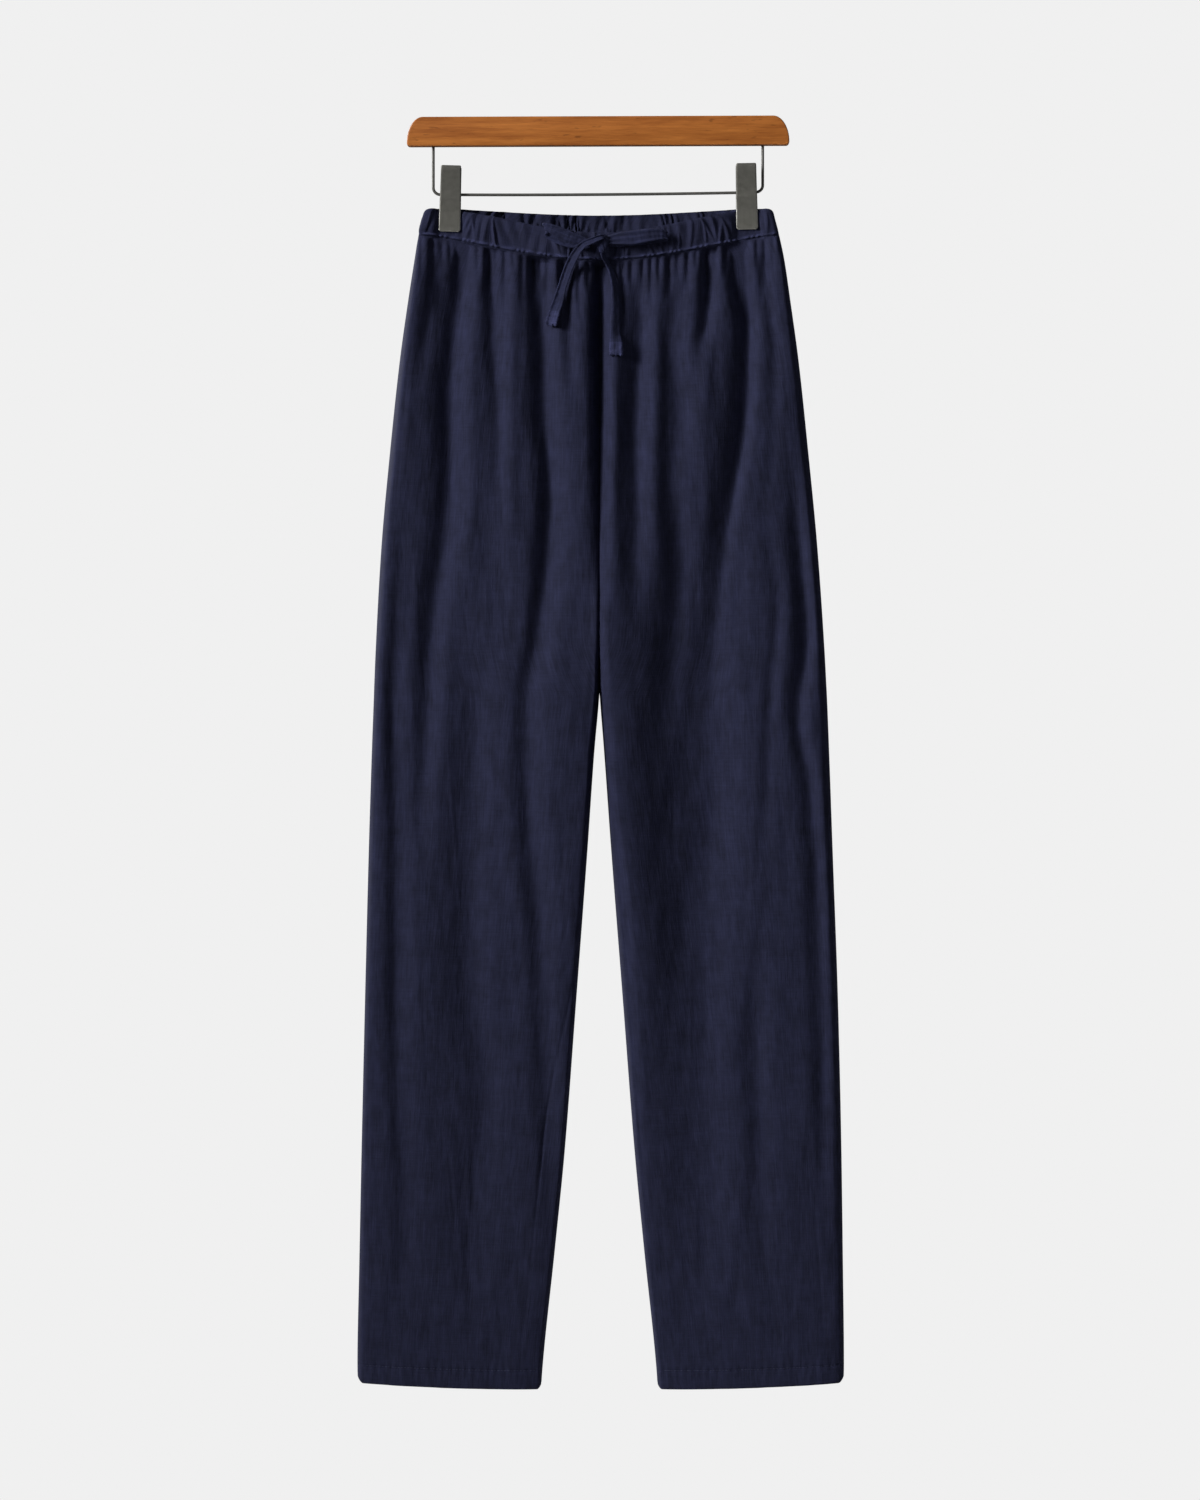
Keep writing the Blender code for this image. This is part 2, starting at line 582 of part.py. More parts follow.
def make_band(face):
    """Half of the waistband: puckers on the outside, plain inside."""
    way = SAG[face].side
    inward_left = Vector((1.0, 0.0, 0.0))
    outer_steps = stations(STEPS_PER_WAVE * PUCKERS)
    inner_steps = stations(BAND_INNER_FACE)
    outer_rows = []
    for rise in (1.0, 0.82, 0.18, 0.0):
        base = [band_place(face, step, rise) for step in outer_steps]
        normals = inward_normals(base, -way, inward_left, -inward_left)
        row = []
        for step, point, normal in zip(outer_steps, base, normals):
            height = pucker(face, step, rise, point.x)
            moved = point - height * normal
            moved.z += 0.35 * height * (rise - 0.5)
            row.append(moved)
        outer_rows.append(row)
    inner_rows = []
    for rise in (1.0, 0.5, 0.0):
        base = [band_place(face, step, rise) for step in inner_steps]
        normals = inward_normals(base, -way, inward_left, -inward_left)
        inner_rows.append(step_in(base, normals, BAND_CLOTH, way))
    outer_grid = [outer_steps] * len(outer_rows)
    inner_grid = [inner_steps] * len(inner_rows)
    return wall("waistband_" + face, outer_rows, inner_rows, outer_grid, inner_grid, LINEN)


def cloth_front(x, drop, half_width):
    """Depth of the front's outermost cloth across a strip, with its gathers and puckers."""
    deepest = 0.0
    for side_step in (-1.0, -0.5, 0.0, 0.5, 1.0):
        at = x + side_step * half_width
        sag = seam_sag("front", at)
        if drop < BAND_SEAM + sag + 2.0 * BAND_CLOTH:
            depth = pinched_depth("front", at) + BAND_CLOTH + PUCKER_HEIGHT
        else:
            nominal = drop - sag * sag_share(drop)
            depth = cloth_depth("front", at, nominal) + gather_height(0.0, nominal)
        deepest = max(deepest, depth)
    return deepest


def smooth_route(route, samples):
    """Points on a smooth curve through a route's places, with the width at each."""
    places = []
    for lay in route:
        depth = cloth_front(lay.x, lay.drop, lay.width / 2.0) + lay.lift
        places.append((Vector((lay.x, -depth, -lay.drop)), lay.width))
    result = []
    last = len(places) - 1
    for index in range(last):
        before = places[max(index - 1, 0)]
        start = places[index]
        end = places[index + 1]
        after = places[min(index + 2, last)]
        for step in range(samples):
            t = step / samples
            curve = 0.5 * (2.0 * start[0] + (end[0] - before[0]) * t
                           + (2.0 * before[0] - 5.0 * start[0] + 4.0 * end[0] - after[0]) * t ** 2
                           + (3.0 * start[0] - before[0] - 3.0 * end[0] + after[0]) * t ** 3)
            result.append((curve, mix(start[1], end[1], t)))
    result.append(places[last])
    return result


def make_tape(name, route, across, samples=2, folded_end=0.0):
    """Flat drawstring tape along a route, with thin edges and capped ends."""
    places = smooth_route(route, samples)
    length = 0.0
    runs = [0.0]
    for (start, _), (end, _) in zip(places, places[1:]):
        length += (end - start).length
        runs.append(length)
    mesh = bmesh.new()
    rings = []
    for index, (point, width) in enumerate(places):
        before = places[max(index - 1, 0)][0]
        after = places[min(index + 1, len(places) - 1)][0]
        along = (after - before).normalized()
        wide = (across - across.dot(along) * along).normalized() * width / 2.0
        half = TAPE / 2.0
        if folded_end and length - runs[index] < folded_end:
            half *= TAPE_FOLD_EXTRA
        thick = along.cross(wide).normalized() * half
        corners = (-wide, -0.85 * wide - thick, 0.85 * wide - thick, wide, 0.85 * wide + thick,
                   -0.85 * wide + thick)
        rings.append([mesh.verts.new(point + corner) for corner in corners])
    for first, second in zip(rings, rings[1:]):
        for side in range(6):
            following = (side + 1) % 6
            mesh.faces.new((first[side], first[following], second[following], second[side]))
    mesh.faces.new(rings[0])
    mesh.faces.new(rings[-1])
    return add_object(name, mesh, TAPE_LINEN)


def make_knot():
    """Small wrapped knot of the bow, narrower towards its foot."""
    middle = Vector((KNOT.x, -cloth_front(KNOT.x, KNOT.drop, KNOT.width / 2.0) - KNOT.lift, -KNOT.drop))
    mesh = bmesh.new()
    bmesh.ops.create_uvsphere(mesh, u_segments=14, v_segments=8, radius=1.0)
    for vert in mesh.verts:
        taper = mix(0.60, 1.0, smooth(0.5 + 0.5 * vert.co.z))
        vert.co = middle + Vector((vert.co.x * taper * KNOT.width / 2.0,
                                   vert.co.y * KNOT_DEPTH / 2.0,
                                   vert.co.z * KNOT_HEIGHT / 2.0))
    return add_object("drawstring_knot", mesh, TAPE_LINEN)


def arc(centre, radius_x, radius_z, start, end, steps):
    """Points of a quarter ellipse in the XZ plane, angles in degrees."""
    points = []
    for step in range(steps + 1):
        angle = math.radians(mix(start, end, step / steps))
        points.append((centre[0] + radius_x * math.cos(angle), centre[1] + radius_z * math.sin(angle)))
    return points


def make_bar():
    """Wooden bar with rounded shoulders, and two sockets for the rail in its underside."""
    half = BAR_LENGTH / 2.0
    shoulder_x = half - BAR_SHOULDER_RUN
    shoulder = (BAR_SHOULDER_RUN, BAR_SHOULDER_FALL)
    lower_x = half - BAR_LOWER_ROUND
    lower_z = -BAR_HEIGHT + BAR_LOWER_ROUND
    right = arc((lower_x, lower_z), BAR_LOWER_ROUND, BAR_LOWER_ROUND, -90.0, -10.0, 3)
    right += arc((shoulder_x, -BAR_SHOULDER_FALL), *shoulder, 4.0, 90.0, 8)
    outline = right + [(-x, z) for x, z in reversed(right)]
    mesh = bmesh.new()
    front = [mesh.verts.new((x, -BAR_DEPTH / 2.0, z)) for x, z in outline]
    back = [mesh.verts.new((x, BAR_DEPTH / 2.0, z)) for x, z in outline]
    mesh.faces.new(front)
    mesh.faces.new(back)
    for index in range(len(outline)):
        following = (index + 1) % len(outline)
        mesh.faces.new((front[index], front[following], back[following], back[index]))
    bar = add_object("hanger_bar", mesh, WOOD)
    rounding = bar.modifiers.new("edges", "BEVEL")
    rounding.width = BAR_EDGE_ROUND
    rounding.segments = 2
    rounding.limit_method = "ANGLE"
    rounding.angle_limit = math.radians(60.0)
    for side in (-1.0, 1.0):
        drill = bmesh.new()
        turn = Matrix.Translation((side * RAIL_HALF_SPAN, 0.0, -BAR_HEIGHT))
        bmesh.ops.create_cone(drill, cap_ends=True, segments=12, radius1=RAIL_RADIUS + GAP,
                              radius2=RAIL_RADIUS + GAP, depth=2.0 * (RAIL_SOCKET + GAP), matrix=turn)
        cutter = add_object("socket_cutter", drill, WOOD)
        cutter.hide_render = True
        cutter.display_type = "WIRE"
        cut = bar.modifiers.new("socket", "BOOLEAN")
        cut.operation = "DIFFERENCE"
        cut.object = cutter
    return bar


def rail_height(x):
    """Height of the rail's level stretch, which sags and tilts a little."""
    share = x / RAIL_HALF_SPAN
    return -RAIL_DROP + RAIL_TILT * share - RAIL_SAG * (1.0 - share * share)


def make_rail():
    """Bent steel rail: up into the bar at each end."""
    level = [share * RAIL_HALF_SPAN for share in (-0.9, -0.6, -0.3, 0.0, 0.3, 0.6, 0.9)]
    path = [(x, rail_height(x)) for x in level]
    for side in (-1.0, 1.0):
        foot = rail_height(side * RAIL_HALF_SPAN)
        bend = arc((RAIL_HALF_SPAN - RAIL_BEND, foot + RAIL_BEND), RAIL_BEND, RAIL_BEND, -90.0, 0.0, 5)
        rise = [(RAIL_HALF_SPAN, mix(foot, -BAR_HEIGHT, 0.6)), (RAIL_HALF_SPAN, RAIL_SOCKET - BAR_HEIGHT)]
        end = [(side * x, z) for x, z in bend + rise]
        path = path + end if side > 0.0 else end[::-1] + path
    return make_wire("hanger_rail", [Vector((x, 0.0, z)) for x, z in path], RAIL_RADIUS, 2, STEEL)


def make_wire(name, points, radius, resolution, finish):
    """Round wire along points, with filled ends."""
    data = bpy.data.curves.new(name, "CURVE")
    data.dimensions = "3D"
    data.bevel_depth = radius
    data.bevel_resolution = resolution
    data.use_fill_caps = True
    line = data.splines.new("POLY")
    line.points.add(len(points) - 1)
    for slot, point in zip(line.points, points):
        slot.co = (*point, 1.0)
    thing = bpy.data.objects.new(name, data)
    bpy.context.collection.objects.link(thing)
    data.materials.append(make_material(name, finish))
    return thing


def make_plate(name, way, ear_offset):
    """One clip plate about the rail at the origin, with two ears drilled for the rail."""
    outer = []
    inner = []
    for row in PLATE:
        edge = row.half_width
        outer.append([Vector((x, way * (row.out + CLIP_PLATE), row.rise)) for x in (-edge, edge)])
        inner.append([Vector((x, way * row.out, row.rise)) for x in (-edge, edge)])
    steps = [even_steps(2)] * len(PLATE)
    plate = wall(name, outer, inner, steps, steps, PAINTED_STEEL)
    root = JAW_TOP.out + CLIP_PLATE / 2.0
    for side in (-1.0, 1.0):
        ear = bmesh.new()
        size = (CLIP_PLATE, root + CLIP_EAR_REACH, 2.0 * CLIP_EAR_HALF_HEIGHT)
        place = Matrix.Translation((side * ear_offset, way * (root - CLIP_EAR_REACH) / 2.0, 0.0))
        bmesh.ops.create_cube(ear, size=1.0, matrix=place @ Matrix.Diagonal((*size, 1.0)))
        apply_boolean(plate, ear, "UNION")
    drill = bmesh.new()
    along_rail = Matrix.Rotation(math.pi / 2.0, 4, "Y")
    bmesh.ops.create_cone(drill, cap_ends=True, segments=12, radius1=RAIL_RADIUS + GAP,
                          radius2=RAIL_RADIUS + GAP, depth=0.03, matrix=along_rail)
    apply_boolean(plate, drill, "DIFFERENCE")
    return plate


def apply_boolean(thing, tool_mesh, operation):
    """Add or cut a tool mesh and keep only the result."""
    tool = add_object("tool", tool_mesh, PAINTED_STEEL)
    change = thing.modifiers.new("change", "BOOLEAN")
    change.operation = operation
    change.object = tool
    bpy.context.view_layer.update()
    evaluated = thing.evaluated_get(bpy.context.evaluated_depsgraph_get())
    result = bpy.data.meshes.new_from_object(evaluated)
    thing.modifiers.clear()
    thing.data = result
    bpy.data.objects.remove(tool)


def make_spring(name):
    """Coil on the rail between the ears, with an arm up behind each plate's handle."""
    radius = RAIL_RADIUS + GAP + SPRING_WIRE
    last = SPRING_TURNS * SPRING_STEPS
    points = []
    for step in range(last + 1):
        angle = 2.0 * math.pi * step / SPRING_STEPS
        x = mix(-SPRING_LENGTH / 2.0, SPRING_LENGTH / 2.0, step / last)
        points.append(Vector((x, -radius * math.cos(angle), radius * math.sin(angle))))
    lean = (HANDLE_TOP.out - HANDLE_FOOT.out) / (HANDLE_TOP.rise - HANDLE_FOOT.rise)
    reach = HANDLE_FOOT.out + lean * (SPRING_ARM - HANDLE_FOOT.rise) - GAP - SPRING_WIRE
    points.insert(0, Vector((-SPRING_LENGTH / 2.0, -reach, SPRING_ARM)))
    points.append(Vector((SPRING_LENGTH / 2.0 + SPRING_SIDESTEP, reach, SPRING_ARM)))
    return make_wire(name, points, SPRING_WIRE, 1, STEEL)


def make_clip(clip):
    """A clip of two plates and a spring, tilted a little on the rail."""
    pivot = bpy.data.objects.new(clip.name + "_pivot", None)
    bpy.context.collection.objects.link(pivot)
    pivot.location = (clip.x, 0.0, rail_height(clip.x))
    pivot.rotation_euler = (0.0, math.radians(clip.tilt_degrees), 0.0)
    inner_ear = CLIP_EAR_OFFSET - CLIP_PLATE - GAP
    pieces = (make_plate(clip.name + "_front", -1.0, CLIP_EAR_OFFSET),
              make_plate(clip.name + "_back", 1.0, inner_ear),
              make_spring(clip.name + "_spring"))
    for piece in pieces:
        piece.parent = pivot


def main():
    for thing in list(bpy.data.objects):
        bpy.data.objects.remove(thing)
    for face in ("front", "back"):
        make_band(face)
        for side in ("left", "right"):
            make_panel(side, face)
    level = Vector((1.0, 0.0, 0.0))
    upright = Vector((0.0, 0.0, 1.0))
    make_knot()
    make_tape("drawstring_loop_left", LOOP_LEFT, upright)
    make_tape("drawstring_loop_right", LOOP_RIGHT, upright)
    make_tape("drawstring_tail_left", TAIL_LEFT, level, folded_end=TAPE_FOLD)
    make_tape("drawstring_tail_right", TAIL_RIGHT, level, folded_end=TAPE_FOLD)
    make_bar()
    make_rail()
    for clip in CLIPS:
        make_clip(clip)


main()
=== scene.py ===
"""The looks of linen drawstring trousers that two clips hold under a wooden bar hanger.

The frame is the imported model: the origin is the middle of the bar's top face, X runs to the
viewer's right, the front of the trousers faces -Y and Z is up. Heights are written as drops
below the bar's top. Sizes are in metres. Left and right are the viewer's.
"""
import bisect
import math
import random
from collections import namedtuple

import bmesh
import bpy
import numpy as np
from bpy.props import FloatProperty, PointerProperty, StringProperty
from mathutils import Matrix, Vector


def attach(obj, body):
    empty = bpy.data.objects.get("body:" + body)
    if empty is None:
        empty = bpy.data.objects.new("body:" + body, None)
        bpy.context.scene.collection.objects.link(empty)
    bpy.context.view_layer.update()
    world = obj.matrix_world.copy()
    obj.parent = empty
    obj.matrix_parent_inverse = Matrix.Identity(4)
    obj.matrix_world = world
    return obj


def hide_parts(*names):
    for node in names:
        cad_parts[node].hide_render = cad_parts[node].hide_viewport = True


bl_info = {
    "name": "Linen trousers on a clip hanger",
    "version": (1, 0, 0),
    "blender": (4, 5, 0),
    "location": "3D View > Sidebar > Trousers",
    "description": "Dresses the packed trousers and their hanger in linen, tape, wood and steel",
    "category": "Object",
}

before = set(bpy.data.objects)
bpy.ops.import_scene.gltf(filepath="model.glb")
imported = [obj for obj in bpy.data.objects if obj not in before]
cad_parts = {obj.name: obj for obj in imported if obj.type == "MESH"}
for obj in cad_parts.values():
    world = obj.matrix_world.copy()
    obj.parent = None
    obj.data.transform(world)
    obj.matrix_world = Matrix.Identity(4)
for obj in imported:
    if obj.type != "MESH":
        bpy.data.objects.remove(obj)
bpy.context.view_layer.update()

# Wooden bar
BAR_LENGTH = 0.344
BAR_HEIGHT = 0.0264
BAR_DEPTH = 0.0140
BAR_SHOULDER_RUN = 0.0145
BAR_SHOULDER_FALL = 0.0232
BAR_LOWER_ROUND = 0.0030
BAR_TILT_DEGREES = 0.22
BAR_LOWERED = 0.0007

# Steel rail under the bar
RAIL_RADIUS = 0.0013
RAIL_HALF_SPAN = 0.1482
RAIL_DROP = 0.0697
RAIL_SAG = 0.0010
RAIL_TILT = 0.0011
RAIL_BEND = 0.0063
RAIL_SOCKET = 0.0100
RAIL_LEVEL = 0.9

# Sheet-metal clips on the rail, and the coil spring between each one's plates
CLIP_PLATE = 0.0010
CLIP_EAR_OFFSET = 0.0076
CLIP_EAR_REACH = 0.0030
CLIP_EAR_HALF_HEIGHT = 0.0040
CLIP_EAR_ROUND = 0.0012
CLIP_DRILL = 0.0300
CLIP_EDGE_ROLL = 0.0009
CLIP_EDGE_LEAST = 0.0001
CLIP_CORNER = 0.0024
CLIP_TOP_CORNER = 0.0006
CLIP_WORN_FROM = -0.0060
SPRING_WIRE = 0.0004
SPRING_TURNS = 4
SPRING_LENGTH = 0.0080
SPRING_ARM = 0.0120
SPRING_SIDESTEP = 0.0010
SPRING_STEPS = 24

# Fit between neighbours, and thickness of the cloth
GAP = 0.0003
MEET = -0.0003
LEAST_DEPTH = 0.00002
CLOTH = 0.0015
INNER_FLOOR = 0.8
BAND_CLOTH = 0.0016
HEM_EXTRA = 0.0006
TAPE = 0.0016

# Waves of small forms: height, radians for each metre or each whole width, and first angle
Wave = namedtuple("Wave", "height beat phase")

# Folded tape of the drawstring: its wrinkles, and the turned end of each tail
TAPE_STEPS = 14
TAPE_RIM = 0.40
TAPE_CREASE = 0.6
TAPE_WRINKLES = (Wave(0.00010, 900.0, 0.0), Wave(0.00016, 390.0, 1.0))
TAPE_CRINKLE = 0.00022
TAPE_CRINKLE_BEATS = ((1150.0, 3.1), (430.0, -2.3))
TAPE_FOLD = 0.0130
TAPE_FOLD_STEP = 0.0015
TAPE_FOLD_EXTRA = 1.75
TAPE_FOLD_WIDER = 0.05
TAPE_FOLD_WAVES = (Wave(0.04, 1500.0, 0.0),)
TAPE_END_TURN = 0.35
TAPE_END_TURN_START = 1.6
TAPE_END_TURN_RUN = 0.0080
TAPE_END_LUMP = 0.0006
TAPE_END_LUMP_BEATS = ((1900.0, 4.6), (-800.0, 7.3))
TAPE_END_RAGGED = 0.0009
TAPE_END_RAGGED_RUN = 0.0050
TAPE_TIP_THICKNESS = 0.35
TAPE_TIP_THINNING = 0.0012
TAPE_TIP_WIDTH = 0.82
TAPE_TIP_NARROWING = 0.0014

# Trousers, as drops below the bar's top
CENTRE = 0.0013
BAND_TOP = 0.0834
BAND_SEAM = 0.1080
HEM = 1.1446
HEM_TURN = 0.0170
HEM_TURN_RUN = 0.0015
HEM_LIFT = 0.0088
HEM_LIFT_ACROSS = 0.62
HEM_LIFT_AT_SEAM = 0.26
HEM_LIFT_REACH = 0.0800
HEM_CORNER_ROUND = 0.0036
HEM_CORNER_REACH = 0.0070
HEM_LINE_DEPTH = 0.0006
HEM_LINE_WIDTH = 0.0009
HEM_PUCKER_DEPTH = 0.00022
HEM_PUCKER_REACH = 0.0060
HEM_PUCKER_PITCH = 0.0068
HEM_EDGE_TURN = 0.0009
HEM_EDGE_REACH = 0.0016
CLIP_X = 0.1335
CLIP_HALF_WIDTH = 0.0105
CLIP_RELEASE = 0.0070
BAND_HALF_WIDTH = 0.1600
BAND_SIDE_DEPTH = 0.0030
BAND_CORNER = 0.0042
BOW_POWER = 0.6
SAG_POWER = 1.35
SAG_RELEASE = 0.1400
HIP_RELEASE = 0.1500
EDGE_DEPTH = 0.50
SOFT_FLOOR = 0.0012
CROWN_POWER = 0.22
TRUNK_POWER = 0.50
SEAM_TUCK = 0.0012

# The front sags between the clips more than the back: top edge, seam and forward bow
Sag = namedtuple("Sag", "side top seam bow")
SAG = {
    "front": Sag(-1.0, 0.0226, 0.0232, 0.0135),
    "back": Sag(1.0, 0.0050, 0.0060, 0.0150),
}

# Outer edges and inseam edges of the cloth
Outline = namedtuple("Outline", "drop left right inseam_left inseam_right")
OUTLINE = (
    Outline(0.085, -0.1558, 0.1574, CENTRE, CENTRE),
    Outline(0.108, -0.1616, 0.1632, CENTRE, CENTRE),
    Outline(0.130, -0.1652, 0.1678, CENTRE, CENTRE),
    Outline(0.166, -0.1708, 0.1731, CENTRE, CENTRE),
    Outline(0.220, -0.1783, 0.1805, CENTRE, CENTRE),
    Outline(0.301, -0.1870, 0.1891, CENTRE, CENTRE),
    Outline(0.391, -0.1951, 0.1977, CENTRE, CENTRE),
    Outline(0.481, -0.2001, 0.2039, CENTRE, CENTRE),
    Outline(0.513, -0.2014, 0.2056, CENTRE, CENTRE),
    Outline(0.525, -0.2018, 0.2062, 0.0006, 0.0021),
    Outline(0.571, -0.2035, 0.2080, -0.0035, 0.0057),
    Outline(0.661, -0.2063, 0.2112, -0.0098, 0.0122),
    Outline(0.796, -0.2097, 0.2160, -0.0199, 0.0227),
    Outline(0.931, -0.2128, 0.2191, -0.0302, 0.0332),
    Outline(1.021, -0.2146, 0.2203, -0.0392, 0.0419),
    Outline(1.129, -0.2165, 0.2214, -0.0504, 0.0530),
    Outline(1.146, -0.2163, 0.2212, -0.0515, 0.0541),
)

# How far front and back stand from the middle plane, the run of the rounded outer edge and
# inner edge, and how far the groove over the centre seam has sunk back to that plane
Body = namedtuple("Body", "drop front back edge inner groove")
BODY = (
    Body(0.085, 0.022, 0.019, 0.0050, 0.010, 0.00),
    Body(0.130, 0.024, 0.022, 0.0055, 0.008, 0.03),
    Body(0.200, 0.031, 0.032, 0.0070, 0.008, 0.06),
    Body(0.300, 0.031, 0.038, 0.0075, 0.007, 0.08),
    Body(0.400, 0.029, 0.037, 0.0075, 0.006, 0.10),
    Body(0.470, 0.027, 0.035, 0.0075, 0.006, 0.20),
    Body(0.505, 0.026, 0.033, 0.0075, 0.005, 0.60),
    Body(0.530, 0.0255, 0.032, 0.0075, 0.005, 1.00),
    Body(0.800, 0.0240, 0.027, 0.0070, 0.0045, 1.00),
    Body(1.146, 0.019, 0.022, 0.0060, 0.0040, 1.00),
)

